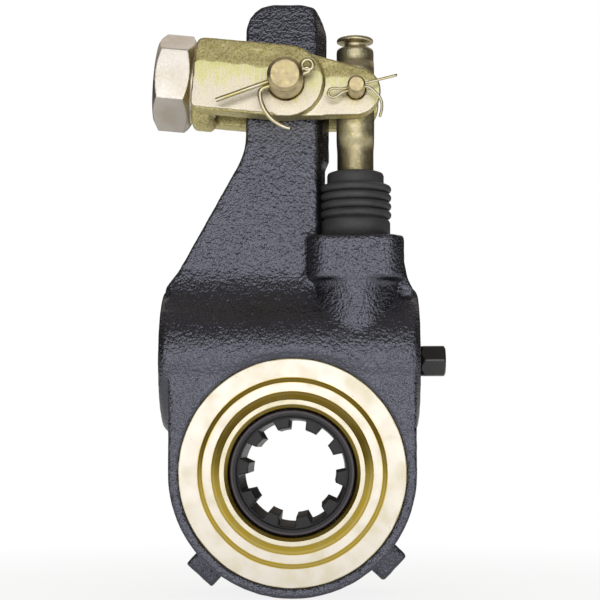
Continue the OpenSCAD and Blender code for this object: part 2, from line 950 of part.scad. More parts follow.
// Section of the turned rod as radius and height
module rod_section() {
    low = roller_z - rod_heel;
    top = small_pin_z + rod_up;
    neck_top = top - rod_cap_h;
    neck_low = neck_top - rod_neck_h;
    polygon([
        [0, low], [shank_small_r, low], [shank_small_r, boss_top + rod_edge],
        [rod_waist_r - rod_edge, boss_top + boot_foot_h], [rod_waist_r, boot_top - boot_neck_h],
        [rod_waist_r, small_pin_z - rod_block_low - rod_shoulder],
        [rod_block_y, small_pin_z - rod_block_low], [rod_block_y, small_pin_z + rod_block_high],
        [rod_r, small_pin_z + rod_block_high + rod_shoulder], [rod_r, neck_low - rod_edge],
        [rod_r - rod_edge, neck_low], [rod_neck_r, neck_low], [rod_neck_r, neck_top],
        [rod_r - rod_edge / 2, neck_top], [rod_r, neck_top + rod_edge / 2], [rod_r, top - rod_edge],
        [rod_r - rod_edge, top], [2 * rod_edge, top], [rod_edge, top + rod_edge], [0, top + rod_edge]
    ]);
}

module actuator_rod() {
    color(zinc_yellow)
        on_actuator()
            difference() {
                rotate_extrude() rod_section();
                for (x = [rod_r + seat, -rod_r - seat - rod_block_y])
                    translate([x, -rod_block_y - 1, small_pin_z - rod_block_low - rod_shoulder])
                        cube([rod_block_y, 2 * rod_block_y + 2, 2 * rod_up]);
                for (y = [tongue_t / 2, -tongue_t / 2 - rod_block_y])
                    translate([-rod_block_y, y, roller_z - 2 * roller_r])
                        cube([2 * rod_block_y, rod_block_y, piston_low + piston_h - roller_z + 6 * roller_r]);
                translate([0, -2 * rod_block_y, small_pin_z])
                    along_y() cylinder(r = small_pin_d / 2 + run, h = 4 * rod_block_y);
                translate([0, 0, roller_z])
                    plate(-rod_block_y, rod_block_y) {
                        translate([-slip_right - slot_play / 2, 0]) circle(r = roller_r + slot_play);
                        translate([slip_left + slot_play / 2, 0]) circle(r = roller_r + slot_play);
                        translate([-slip_right - slot_play / 2, -roller_r - slot_play])
                            square([slip_left + slip_right + slot_play, 2 * roller_r + 2 * slot_play]);
                    }
            }
}

// Bellows boot

module boot_section() {
    fold_low = boot_foot_h + fold_pitch / 2;
    ring_r = boot_r - fold_r;
    difference() {
        union() {
            square([boot_foot_r, boot_foot_h - boot_edge]);
            translate([0, boot_foot_h - 2 * boot_edge]) square([boot_foot_r - boot_edge, 2 * boot_edge]);
            translate([boot_foot_r - boot_edge, boot_foot_h - boot_edge]) circle(r = boot_edge);
            square([ring_r - fold_r / 2, boot_h - boot_neck_h + boot_edge]);
            for (k = [0:boot_folds - 1])
                translate([ring_r, fold_low + k * fold_pitch]) circle(r = fold_r, $fn = 48);
            translate([0, boot_h - boot_neck_h]) square([boot_collar_r, boot_neck_h - boot_edge]);
            translate([0, boot_h - 2 * boot_edge]) square([boot_collar_r - boot_edge, 2 * boot_edge]);
            translate([boot_collar_r - boot_edge, boot_h - boot_edge]) circle(r = boot_edge);
        }
        square([ring_r - fold_r / 2 - boot_wall, boot_h - boot_neck_h]);
        translate([0, boot_h - boot_neck_h - 1]) square([rod_waist_r + seat, boot_neck_h + 2]);
        translate([-boot_r, -1]) square([boot_r, boot_h + 2]);
    }
}

module boot() {
    color(rubber_black)
        on_actuator() translate([0, 0, boss_top]) rotate_extrude() boot_section();
}

// Pawl at the rear of the actuator barrel

module pawl() {
    color(bare_steel)
        translate([rod_x, pawl_tip_y, pawl_z])
            along_y()
                difference() {
                    union() {
                        cylinder(r = pawl_r, h = pawl_len);
                        translate([0, 0, pawl_len - eps]) cylinder(r = spring_seat_r, h = spring_seat_h);
                    }
                    for (s = [-1, 1])
                        rotate(45)
                            translate([s * pawl_nose, -2 * pawl_r, 0])
                                rotate([0, s * pawl_slope, 0])
                                    translate([s > 0 ? 0 : -2 * pawl_r, 0, -2 * pawl_r])
                                        cube([2 * pawl_r, 4 * pawl_r, 2 * pawl_r]);
                }
}

// Cross-section of a coil spring cut square to its axis, so that the wound wire is round
function coil_outline(coil_r, wire, half) = concat(
    [for (k = [-4:4]) polar(coil_r + wire * cos(22.5 * k), half * sin(22.5 * k))],
    [for (k = [3:-1:-3]) polar(coil_r - wire * cos(22.5 * k), half * sin(22.5 * k))]
);

module pawl_spring() {
    low = pawl_shoulder_y + seat;
    length = cap_y - seat - low;
    half = 360 * spring_turns * spring_wire / length;
    color(bare_steel)
        translate([rod_x, low, pawl_z])
            along_y()
                linear_extrude(height = length, twist = -360 * spring_turns, slices = 14 * spring_turns,
                        segments = 16)
                    polygon(coil_outline(spring_r, spring_wire, half));
}

module pawl_cap() {
    shank = pawl_face_y + gasket_t - cap_y;
    color(dark_steel)
        translate([rod_x, cap_y, pawl_z])
            along_y() {
                difference() {
                    chamfered_bar(cap_thread_r, shank, cover_edge);
                    translate([0, 0, -1]) cylinder(r = cap_pocket_r, h = cap_pocket_h + 1);
                }
                translate([0, 0, shank - eps]) turned_hex(cap_af, cap_head_h, cover_edge);
            }
}

module pawl_gasket() {
    color(bronze)
        translate([rod_x, pawl_face_y + seat, pawl_z])
            along_y() ring(gasket_r, cap_thread_r + seat, gasket_t - 2 * seat);
}

module grease_fitting() {
    color(zinc_yellow)
        translate([fitting_x, tube_r, worm_z])
            along_y()
                difference() {
                    union() {
                        translate([0, 0, -fitting_stub])
                            cylinder(r = fitting_r, h = fitting_stub + 2 * seat + eps);
                        translate([0, 0, 2 * seat]) turned_hex(fitting_af, fitting_hex_h, 0.2);
                        translate([0, 0, fitting_hex_h - 8 * seat])
                            rotate_extrude()
                                polygon([
                                    [0, 0], [0.87 * fitting_r, 0], [0.87 * fitting_r, 0.2 * fitting_tip_h],
                                    [0.7 * fitting_r, 0.32 * fitting_tip_h],
                                    [0.7 * fitting_r, 0.47 * fitting_tip_h],
                                    [1.03 * fitting_r, 0.65 * fitting_tip_h],
                                    [1.03 * fitting_r, 0.8 * fitting_tip_h],
                                    [0.73 * fitting_r, fitting_tip_h], [0, fitting_tip_h]
                                ]);
                    }
                    translate([0, 0, -2 * fitting_stub])
                        cylinder(r = fitting_bore_r, h = 3 * fitting_stub + 2 * fitting_tip_h);
                }
}

// Clevis

// Outline of an ear from the base to the rounded end at the large pin
module ear_outline() {
    back = -base_back;
    translate([back, -ear_down + ear_corner]) square([base_back, ear_up + ear_down - 2 * ear_corner]);
    translate([back + ear_corner, -ear_down]) square([base_back - ear_corner, ear_up + ear_down]);
    for (z = [-ear_down + ear_corner, ear_up - ear_corner])
        translate([back + ear_corner, z]) circle(r = ear_corner);
    translate([0, (ear_up - ear_down) / 2]) circle(r = (ear_up + ear_down) / 2);
}

// Outline of the ear's stepped end, tapered from the ear to the small pin
module ear_end_outline() {
    up = tangent_up([0, ear_up - ear_inset]);
    down = tangent_up([0, ear_down - ear_inset]);
    translate([pin_gap, 0]) circle(r = ear_end_r);
    polygon([
        [-ear_inset, ear_inset - ear_down], [0, ear_inset - ear_down], [down.x, -down.y],
        up, [0, ear_up - ear_inset], [-ear_inset, ear_up - ear_inset]
    ]);
}

// Cutter that gives the upper part of a forged face its draft above the milled line
module forged_draft(face, line) {
    reach = base_back + pin_gap;
    translate([-reach, face, line])
        rotate([-ear_draft, 0, 0])
            translate([0, -ear_t, 0]) cube([2 * reach, ear_t, 2 * ear_up]);
}

// One ear, on the front side
module ear() {
    difference() {
        union() {
            difference() {
                plate(-ear_out, -ear_in) ear_outline();
                forged_draft(-ear_out, mill_line);
            }
            difference() {
                plate(-ear_out + ear_step, -ear_in) ear_end_outline();
                forged_draft(-ear_out + ear_step, end_mill_line);
            }
        }
        translate([-base_back - ear_step, -ear_out + ear_chamfer, -ear_down - ear_chamfer / 2])
            rotate([45, 0, 0])
                translate([0, -ear_t, -ear_t]) cube([base_back, ear_t, 2 * ear_t]);
    }
}

module clevis() {
    color(zinc_yellow)
        on_clevis()
            difference() {
                union() {
                    ear();
                    on_rear() ear();
                    translate([-base_back, 0, 0]) along_x() chamfered_bar(base_r, base_t, base_edge);
                    plate(-ear_out + web_back, ear_out - web_back)
                        translate([-base_back + base_edge / 2, -ear_down + base_edge / 2])
                            square([base_t - base_edge / 2, ear_up + ear_down - base_edge]);
                }
                translate([-base_back - 1, 0, 0]) along_x() cylinder(r = shank_r + seat, h = base_t + 2);
                translate([0, -2 * ear_out, 0])
                    along_y() cylinder(r = large_pin_d / 2 + seat, h = 4 * ear_out);
                translate([pin_gap, -2 * ear_out, 0])
                    along_y() cylinder(r = small_pin_d / 2 + seat, h = 4 * ear_out);
            }
}

module clevis_collar() {
    color(zinc_yellow)
        on_clevis()
            difference() {
                union() {
                    translate([-collar_far, 0, 0]) along_x() turned_hex(collar_af, collar_len, collar_edge);
                    translate([-collar_near - eps, 0, 0])
                        along_x() cylinder(r = collar_face_r, h = collar_gap - seat);
                    translate([-collar_near - eps, 0, 0])
                        along_x() chamfered_bar(shank_r, collar_near - throat, collar_edge);
                }
                translate([-collar_far - 1, 0, 0]) along_x() cylinder(r = collar_hole_r, h = 2 * collar_far);
                translate([-collar_far, 0, 0])
                    along_x() cylinder(r1 = collar_hole_r + base_edge, r2 = collar_hole_r, h = base_edge);
            }
}

// Pins and cotters

// A headed pin along Y with a cross hole, its head behind the rear ear
module headed_pin(r, front, back, head_r, head_h, hole_y, hole_r, turn) {
    difference() {
        union() {
            translate([0, -front, 0]) along_y() chamfered_bar(r, front + back + 1, 0.2 * r);
            translate([0, back + seat, 0]) along_y() chamfered_bar(head_r, head_h, head_edge);
        }
        translate([0, hole_y, 0])
            rotate([0, turn, 0])
                along_x() translate([0, 0, -2 * r]) cylinder(r = hole_r, h = 4 * r);
    }
}

// A split cotter in the plane of x and z, its eye at +x, one leg straight and one turned back
module split_cotter(wire, eye, eye_x, eye_turn, straight, bend_x, bend_r, bend_angle, tail_r, tail_angle) {
    side = wire + seat / 2;
    rotate([90, 0, 0]) {
        for (s = [-1, 1]) {
            translate([s > 0 ? -straight : -bend_x, s * side, 0])
                along_x() cylinder(r = wire, h = eye_x + (s > 0 ? straight : bend_x), $fn = 32);
        }
        translate([eye_x, 0, 0])
            rotate(-90)
                rotate_extrude(angle = 180) translate([side, 0]) circle(r = wire, $fn = 32);
        translate([eye_x, 0, 0])
            rotate(eye_turn)
                translate([eye, 0, 0]) rotate_extrude() translate([eye, 0]) circle(r = wire, $fn = 32);
        translate([-bend_x, -side - bend_r, 0]) {
            rotate(90) rotate_extrude(angle = bend_angle) translate([bend_r, 0]) circle(r = wire, $fn = 32);
            rotate(bend_angle)
                translate([0, bend_r - tail_r, 0])
                    rotate(90)
                        rotate_extrude(angle = tail_angle) translate([tail_r, 0]) circle(r = wire, $fn = 32);
        }
    }
}

module large_pin() {
    color(zinc_yellow)
        on_clevis()
            headed_pin(large_pin_d / 2, ear_out + large_pin_out, ear_out, large_head_r, large_head_h,
                large_hole_y, 2 * large_wire_r + hole_play, large_turn);
}

module large_cotter() {
    color(zinc_yellow)
        on_clevis()
            translate([0, large_hole_y, 0])
                rotate([0, large_turn, 0])
                    split_cotter(large_wire_r, large_eye_r, large_pin_d / 2 + large_eye_out, large_eye_turn,
                        large_leg, large_bend_x, large_bend_r, large_bend_angle,
                        large_tail_r, large_tail_angle);
}

module small_pin() {
    color(zinc_yellow)
        on_clevis()
            translate([pin_gap, 0, 0])
                headed_pin(small_pin_d / 2, ear_out - ear_step + small_pin_out, ear_out - ear_step,
                    small_head_r, small_head_h, small_hole_y, 2 * small_wire_r + hole_play, small_turn);
}

module small_cotter() {
    color(zinc_yellow)
        on_clevis()
            translate([pin_gap, small_hole_y, 0])
                rotate([0, small_turn, 0])
                    mirror([0, 0, 1])
                        split_cotter(small_wire_r, small_eye_r, small_pin_d / 2 + small_eye_out,
                            small_eye_turn, small_leg, small_bend_x, small_bend_r, small_bend_angle,
                            small_tail_r, small_tail_angle);
}

housing();
arm_bushing();
front_cover();
rear_cover();
front_seal();
rear_seal();
front_gear_bushing();
rear_gear_bushing();
worm_gear();
worm_shaft();
worm_bushing();
worm_plug();
worm_seal();
actuator_sleeve();
retaining_ring();
piston();
roller_pin();
actuator_rod();
boot();
pawl();
pawl_spring();
pawl_cap();
pawl_gasket();
grease_fitting();
clevis();
clevis_collar();
large_pin();
large_cotter();
small_pin();
small_cotter();
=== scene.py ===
# %% [markdown]
# # A brake slack adjuster in a photo studio
# The adjuster is a black iron casting with yellow zinc fittings: a clevis at the top, a stamped
# cover round the splined bore, and a rubber boot on its rod. The solids come from the CAD model,
# which is loaded first and never moved. The lesson gives each surface the finish of the real
# piece, and makes new pieces only where a solid is too crisp: the casting, the forged clevis and
# rod, the pressed covers, the boot, and a few small ones such as wire, thread and spring.

# %% Load the solids
import math

import bmesh
import bpy
from mathutils import Matrix, Vector, noise


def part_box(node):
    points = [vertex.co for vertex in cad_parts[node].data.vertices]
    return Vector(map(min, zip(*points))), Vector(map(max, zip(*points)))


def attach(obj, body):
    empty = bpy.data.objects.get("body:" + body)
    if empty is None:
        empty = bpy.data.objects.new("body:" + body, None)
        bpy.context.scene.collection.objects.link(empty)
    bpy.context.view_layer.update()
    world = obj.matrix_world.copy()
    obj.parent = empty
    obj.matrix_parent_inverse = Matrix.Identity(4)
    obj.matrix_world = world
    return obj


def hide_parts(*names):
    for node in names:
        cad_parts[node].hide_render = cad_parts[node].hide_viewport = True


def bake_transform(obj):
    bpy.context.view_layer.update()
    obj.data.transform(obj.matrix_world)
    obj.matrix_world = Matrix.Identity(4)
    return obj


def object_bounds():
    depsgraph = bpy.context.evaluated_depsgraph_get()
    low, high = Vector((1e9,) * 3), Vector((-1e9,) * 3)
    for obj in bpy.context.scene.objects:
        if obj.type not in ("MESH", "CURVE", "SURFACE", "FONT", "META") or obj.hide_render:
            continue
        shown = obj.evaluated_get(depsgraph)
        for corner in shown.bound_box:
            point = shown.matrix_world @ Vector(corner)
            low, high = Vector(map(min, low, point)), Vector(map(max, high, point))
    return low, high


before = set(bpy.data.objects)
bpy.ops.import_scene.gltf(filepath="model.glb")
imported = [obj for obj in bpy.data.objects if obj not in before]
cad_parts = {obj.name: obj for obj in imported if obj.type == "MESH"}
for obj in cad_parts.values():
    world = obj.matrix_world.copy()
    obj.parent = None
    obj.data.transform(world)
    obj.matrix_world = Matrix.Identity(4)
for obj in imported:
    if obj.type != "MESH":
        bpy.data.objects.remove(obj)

scene = bpy.context.scene
cad_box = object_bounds()
MM = 0.001

# %% [markdown]
# ## Measures from the solids
# A piece that replaces a solid has to sit where the solid sits. Most measures can be read from the
# boxes of the solids, in millimetres: the bore's centre is the origin and the front faces -Y. The
# clevis leans a little, and the line from its large pin to its small pin says how much.


# %% Measures from the solids
def corners(node):
    return tuple(Vector(corner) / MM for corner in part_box(node))


def middle(node):
    low, high = corners(node)
    return (low + high) / 2


EYE = middle("arm_bushing")
pin_line = middle("small_pin") - middle("large_pin")
CLEVIS_TILT = math.atan2(-pin_line.z, pin_line.x)
ALONG = Vector((math.cos(CLEVIS_TILT), 0.0, -math.sin(CLEVIS_TILT)))
UP = Vector((math.sin(CLEVIS_TILT), 0.0, math.cos(CLEVIS_TILT)))
EAR_FACE = EYE.y - corners("clevis")[0].y
EAR_STEP = 3.0
boot_low, boot_high = corners("boot")
BOOT_FOOT = Vector((middle("boot").x, middle("boot").y, boot_low.z))
BOOT_H = boot_high.z - boot_low.z
cover_low, cover_high = corners("front_cover")
COVER_R = cover_high.x
COVER_SEAT = -cover_high.y
print("clevis leans", round(math.degrees(CLEVIS_TILT), 2), "degrees")
print("cover radius", round(COVER_R, 2))

# %% [markdown]
# ## The camera
# The photo looks straight at the front face from a little over half a metre away, level with the
# bore and slightly upwards. That can be read from it: the hub hides part of the bore's far rim,
# and the underside of the clevis shows while its top doesn't. A long lens keeps the shape calm.

# %% The camera
CAMERA_AT = Vector((11.9, -580.0, 9.4))
LOOK_UP, LOOK_LEFT = 5.32, 0.95
camera = bpy.data.objects.new("camera", bpy.data.cameras.new("camera"))
scene.collection.objects.link(camera)
camera.location = CAMERA_AT * MM
camera.rotation_euler = (math.radians(90 + LOOK_UP), 0.0, math.radians(LOOK_LEFT))
camera.data.lens = 93.96
camera.data.sensor_width = 36.0
camera.data.clip_start = 0.01
scene.camera = camera
print("camera:", [round(c, 4) for c in camera.location], "lens", camera.data.lens)

# %% [markdown]
# ## Nodes in one line each
# Every finish is a small graph of shader nodes. A helper that makes a node, sets it and wires it
# keeps the graphs short enough to read: a value that is a socket is linked, any other is typed in.
# Three more stand on it: spread stretches one range of numbers onto another, sums does one step of
# arithmetic, and blend_colour mixes two colours.


# %% Nodes in one line each
def grow(tree, kind, feeds, **settings):
    node = tree.nodes.new(kind)
    for name, value in settings.items():
        setattr(node, name, value)
    for socket, value in feeds.items():
        if isinstance(value, bpy.types.NodeSocket):
            tree.links.new(value, node.inputs[socket])
        else:
            node.inputs[socket].default_value = value
    return node


def spread(tree, value, low, high, to_low, to_high):
    feeds = {"Value": value, "From Min": low, "From Max": high, "To Min": to_low, "To Max": to_high}
    return grow(tree, "ShaderNodeMapRange", feeds).outputs["Result"]


def sums(tree, operation, a, b):
    return grow(tree, "ShaderNodeMath", {0: a, 1: b}, operation=operation).outputs["Value"]


def blend_colour(tree, factor, a, b):
    node = grow(tree, "ShaderNodeMix", {}, data_type="RGBA")
    for index, value in ((0, factor), (6, a), (7, b)):
        if isinstance(value, bpy.types.NodeSocket):
            tree.links.new(value, node.inputs[index])
        else:
            node.inputs[index].default_value = (*value, 1.0) if index else value
    return node.outputs[2]


print("node helpers ready")

# %% [markdown]
# ## Light
# The photo has one broad soft light behind the camera, and a dark room at the sides and overhead:
# flat front faces shine, faces that lean up or sideways go black. An area lamp gives the first,
# and a world that is pale only above and behind gives the second. A weaker lamp above and behind
# lights the back of the part. What the camera sees of the world is white through the Light Path
# node, and the rest of it is a little warm.

# %% Light
WHITE = (1.0, 1.0, 1.0)
WARM = (1.0, 0.90, 0.80)


def soft_lamp(name, place, aim, width, height, radiance):
    lamp = bpy.data.lights.new(name, "AREA")
    lamp.shape = "RECTANGLE"
    lamp.size = width
    lamp.size_y = height
    lamp.energy = radiance * math.pi * width * height
    obj = bpy.data.objects.new(name, lamp)
    scene.collection.objects.link(obj)
    obj.location = place
    obj.rotation_euler = (Vector(aim) - Vector(place)).to_track_quat("-Z", "Y").to_euler()
    obj.visible_camera = False
    return obj


scene.view_settings.view_transform = "Standard"
front_lamp = soft_lamp(
    "front_lamp", (0.0, -0.85, 0.175), (0.0, 0.0, 0.175), width=1.1, height=0.44, radiance=2.5
)
rear_lamp = soft_lamp(
    "rear_lamp", (0.0, 0.6, 1.05), (0.0, 0.0, 0.06), width=1.2, height=0.9, radiance=0.35
)

world = bpy.data.worlds.new("studio")
scene.world = world
world.use_nodes = True
sky = world.node_tree
look = grow(sky, "ShaderNodeTexCoord", {}).outputs["Generated"]
facing = grow(sky, "ShaderNodeSeparateXYZ", {"Vector": look}).outputs
behind = spread(sky, facing["Y"], 0.2, 0.6, 0.0, 0.6)
above = spread(sky, facing["Z"], 0.25, 0.45, 0.0, 1.0)
dim = spread(sky, facing["Z"], 0.4, 0.8, 0.02, 0.3)
room = sums(sky, "MAXIMUM", sums(sky, "MULTIPLY", behind, above), dim)
seen = grow(sky, "ShaderNodeLightPath", {}).outputs["Is Camera Ray"]
strength = sums(sky, "MAXIMUM", room, seen)
sky.links.new(strength, sky.nodes["Background"].inputs["Strength"])
tone = blend_colour(sky, seen, WARM, WHITE)
sky.links.new(tone, sky.nodes["Background"].inputs["Color"])
print("lamps:", [o.name for o in (front_lamp, rear_lamp)])

# %% [markdown]
# ## The floor
# The floor is white paper. The camera sees it almost as white as the world, and a little less so
# near the part, where it keeps the part's shadow. Glossy surfaces see it pale in front of the part
# and darker behind it. For that a helper measures how far a point lies along an axis, in
# millimetres, and another starts a new finish.

# %% The floor
FLOOR_HALF = 5.0


def shader_of(finish):
    return finish.node_tree.nodes["Principled BSDF"]


def new_finish(name):
    finish = bpy.data.materials.new(name)
    finish.use_nodes = True
    tree = finish.node_tree
    place = grow(tree, "ShaderNodeTexCoord", {}).outputs["Object"]
    return finish, tree, shader_of(finish), place


def distance_along(tree, place, axis, origin):
    away = grow(tree, "ShaderNodeVectorMath", {0: place, 1: origin * MM}, operation="SUBTRACT")
    feeds = {0: away.outputs["Vector"], 1: axis / MM}
    return grow(tree, "ShaderNodeVectorMath", feeds, operation="DOT_PRODUCT").outputs["Value"]


sheet = bmesh.new()
bmesh.ops.create_grid(sheet, x_segments=1, y_segments=1, size=FLOOR_HALF)
bmesh.ops.translate(sheet, verts=sheet.verts, vec=(0.0, 0.0, cad_box[0][2]))
floor = bpy.data.objects.new("floor", bpy.data.meshes.new("floor"))
sheet.to_mesh(floor.data)
sheet.free()
scene.collection.objects.link(floor)
paper, tree, shader, place = new_finish("white_paper")
shader.inputs["Base Color"].default_value = (0.9, 0.9, 0.9, 1.0)
shader.inputs["Roughness"].default_value = 0.9
near = grow(tree, "ShaderNodeVectorMath", {0: place}, operation="LENGTH").outputs["Value"]
path = grow(tree, "ShaderNodeLightPath", {})
whiteness = spread(tree, near, 0.06, 0.3, 0.86, 1.0)
seen = sums(tree, "MULTIPLY", path.outputs["Is Camera Ray"], whiteness)
back = distance_along(tree, place, Vector((0, 1, 0)), Vector((0, 0, 0)))
lit = spread(tree, back, -150.0, 50.0, 1.0, 0.5)
share = sums(tree, "MAXIMUM", seen, sums(tree, "MULTIPLY", path.outputs["Is Glossy Ray"], lit))
glow = grow(tree, "ShaderNodeEmission", {"Color": (*WHITE, 1.0), "Strength": 1.0})
feeds = {0: share, 1: shader.outputs["BSDF"], 2: glow.outputs["Emission"]}
mixed = grow(tree, "ShaderNodeMixShader", feeds).outputs["Shader"]
tree.links.new(mixed, tree.nodes["Material Output"].inputs["Surface"])
floor.data.materials.append(paper)
print("floor at", round(cad_box[0][2] / MM, 1), "mm")

# %% [markdown]
# ## Black paint over sand-cast iron
# A sand casting is rough at a scale of one or two millimetres, with pits between the grains, and
# the dipped paint follows it. The colour is nearly black with a cold cast; what makes it look
# grey in front is gloss. So the finish is a dark glossy shader, and pits from a cell texture and
# a noise bend its normal. A few pale specks of dust gather where a slow noise lets them. Three
# helpers do most of it: speckle is noise of a given size, ramp turns a number into a colour, and
# bump bends the normal as a relief of a given depth would.


# %% Black paint over sand-cast iron
def speckle(tree, place, size_mm, detail=2.0):
    feeds = {"Vector": place, "Scale": 1.0 / (size_mm * MM), "Detail": detail}
    return grow(tree, "ShaderNodeTexNoise", feeds).outputs["Fac"]


def ramp(tree, value, stops):
    node = grow(tree, "ShaderNodeValToRGB", {"Fac": value})
    band = node.color_ramp
    while len(band.elements) < len(stops):
        band.elements.new(1.0)
    for element, (position, colour) in zip(band.elements, stops):
        element.position = position
        element.color = (*colour, 1.0)
    return node.outputs["Color"]


def bump(tree, shader, height, depth_mm, under=None):
    feeds = {"Height": height, "Distance": depth_mm * MM, "Strength": 1.0}
    if under is not None:
        feeds["Normal"] = under
    bent = grow(tree, "ShaderNodeBump", feeds).outputs["Normal"]
    tree.links.new(bent, shader.inputs["Normal"])
    return bent


LUMP_MM, WAVE_MM, PIT_MM, GRIT_MM, WORN_MM = 0.9, 3.4, 2.2, 0.6, 16.0
LUMP_DEPTH, WAVE_DEPTH, PIT_DEPTH = 0.4, 0.25, 0.1
BLACK, WORN_BLACK, DUST = (0.008, 0.008, 0.010), (0.015, 0.015, 0.019), (0.16, 0.16, 0.18)
paint, tree, shader, place = new_finish("black_casting_paint")
lumps = speckle(tree, place, LUMP_MM, 2.0)
waves = speckle(tree, place, WAVE_MM, 2.0)
feeds = {"Vector": place, "Scale": 1.0 / (PIT_MM * MM)}
pit = grow(tree, "ShaderNodeTexVoronoi", feeds).outputs["Distance"]
pits = spread(tree, pit, 0.1, 0.45, 0.0, 1.0)
grit = speckle(tree, place, GRIT_MM, 2.0)
worn = speckle(tree, place, WORN_MM, 3.0)
specks = spread(tree, grit, 0.68, 0.76, 0.0, 1.0)
dust = sums(tree, "MULTIPLY", specks, spread(tree, worn, 0.48, 0.66, 0.0, 0.7))
base = ramp(tree, worn, [(0.3, BLACK), (0.7, WORN_BLACK)])
tree.links.new(blend_colour(tree, dust, base, DUST), shader.inputs["Base Color"])
tree.links.new(spread(tree, lumps, 0.3, 0.7, 0.2, 0.3), shader.inputs["Roughness"])
shader.inputs["IOR"].default_value = 1.58
shader.inputs["Specular IOR Level"].default_value = 0.95
shader.inputs["Specular Tint"].default_value = (0.82, 0.83, 1.0, 1.0)
pitted = bump(tree, shader, pits, PIT_DEPTH)
wavy = bump(tree, shader, waves, WAVE_DEPTH, pitted)
bump(tree, shader, lumps, LUMP_DEPTH, wavy)
print("finish:", paint.name)

# %% [markdown]
# ## Yellow zinc
# Zinc plate with a yellow chromate dip shines like brass but drifts from cream to green to rose,
# because the film is thinner than light waves. A metal shader with a slow noise through a colour
# ramp gives that drift. Turned and bent pieces share the recipe. The Bevel node rounds the look
# of their crisp edges without touching the solid.

# %% Yellow zinc
CREAM = (0.60, 0.55, 0.43)
STRAW = (0.53, 0.46, 0.21)
GREEN = (0.45, 0.42, 0.17)
ROSE = (0.50, 0.40, 0.31)
OLIVE = (0.18, 0.16, 0.06)
BROWN = (0.15, 0.10, 0.05)
GOLD = (0.62, 0.47, 0.12)


def soft_edge(tree, radius_mm):
    return grow(tree, "ShaderNodeBevel", {"Radius": radius_mm * MM}, samples=6).outputs["Normal"]


def zinc(name, rough, drift_mm, grain_mm, depth_mm, edge_mm, stops):
    finish, tree, shader, place = new_finish(name)
    drift = speckle(tree, place, drift_mm, 3.0)
    grain = speckle(tree, place, grain_mm, 3.0)
    tree.links.new(ramp(tree, drift, stops), shader.inputs["Base Color"])
    gloss = spread(tree, grain, 0.3, 0.7, rough - 0.06, rough + 0.08)
    tree.links.new(gloss, shader.inputs["Roughness"])
    shader.inputs["Metallic"].default_value = 1.0
    bump(tree, shader, grain, depth_mm, soft_edge(tree, edge_mm))
    return finish


turned_stops = [(0.3, GREEN), (0.42, STRAW), (0.6, CREAM), (0.75, ROSE)]
turned_zinc = zinc(
    "turned_yellow_zinc", rough=0.32, drift_mm=9.0, grain_mm=0.7, depth_mm=0.03, edge_mm=0.35,
    stops=turned_stops
)
pin_stops = [
    (0.32, (0.36, 0.32, 0.13)), (0.44, (0.47, 0.37, 0.25)),
    (0.54, (0.50, 0.42, 0.20)), (0.68, (0.56, 0.49, 0.31)),
]
pin_zinc = zinc(
    "pin_yellow_zinc", rough=0.36, drift_mm=2.4, grain_mm=0.7, depth_mm=0.05, edge_mm=0.5,
    stops=pin_stops
)
collar_stops = [(0.3, (0.57, 0.51, 0.42)), (0.5, (0.64, 0.59, 0.52)), (0.7, (0.67, 0.63, 0.57))]
collar_zinc = zinc(
    "collar_yellow_zinc", rough=0.36, drift_mm=9.0, grain_mm=0.8, depth_mm=0.015, edge_mm=0.8,
    stops=collar_stops
)
wire_zinc = zinc(
    "wire_yellow_zinc", rough=0.34, drift_mm=9.0, grain_mm=0.6, depth_mm=0.01, edge_mm=0.1,
    stops=[(0.35, STRAW), (0.6, CREAM)]
)
print("finishes:", turned_zinc.name, pin_zinc.name, collar_zinc.name, wire_zinc.name)

# %% [markdown]
# ## Dark steel, bare steel, bronze and rubber
# The worm shaft and the plug are oiled black steel and the gear is phosphated; inside there are
# bare steel and bronze pieces, which show when the model is opened. Rubber is dull, with a faint
# bloom.


# %% Dark steel, bare steel, bronze and rubber
def plain(name, dark, light, metallic, rough, grain_mm, depth_mm, edge_mm=0.4):
    finish, tree, shader, place = new_finish(name)
    drift = speckle(tree, place, 6.0, 3.0)
    grain = speckle(tree, place, grain_mm, 3.0)
    tree.links.new(ramp(tree, drift, [(0.35, dark), (0.65, light)]), shader.inputs["Base Color"])
    gloss = spread(tree, grain, 0.3, 0.7, rough - 0.07, rough + 0.1)
    tree.links.new(gloss, shader.inputs["Roughness"])
    shader.inputs["Metallic"].default_value = metallic
    bump(tree, shader, grain, depth_mm, soft_edge(tree, edge_mm))
    return finish


oiled_steel = plain(
    "oiled_black_steel", (0.006, 0.006, 0.006), (0.012, 0.012, 0.012), metallic=0.0,
    rough=0.26, grain_mm=0.6, depth_mm=0.02, edge_mm=0.3
)
gear_steel = plain(
    "phosphated_gear_steel", (0.006, 0.005, 0.007), (0.011, 0.010, 0.013), metallic=0.0,
    rough=0.36, grain_mm=0.6, depth_mm=0.02, edge_mm=0.9
)
bare_steel = plain(
    "ground_bare_steel", (0.46, 0.46, 0.45), (0.56, 0.56, 0.55), metallic=1.0,
    rough=0.32, grain_mm=0.4, depth_mm=0.01
)
bronze = plain(
    "bearing_bronze", (0.46, 0.28, 0.12), (0.58, 0.38, 0.17), metallic=1.0,
    rough=0.34, grain_mm=0.5, depth_mm=0.01
)
rubber = plain(
    "black_rubber", (0.050, 0.050, 0.053), (0.068, 0.068, 0.072), metallic=0.0,
    rough=0.56, grain_mm=0.5, depth_mm=0.02
)
shader_of(oiled_steel).inputs["Specular IOR Level"].default_value = 0.75
shader_of(gear_steel).inputs["Specular IOR Level"].default_value = 0.35
print("finishes:", [f.name for f in (oiled_steel, gear_steel, bare_steel, bronze, rubber)])

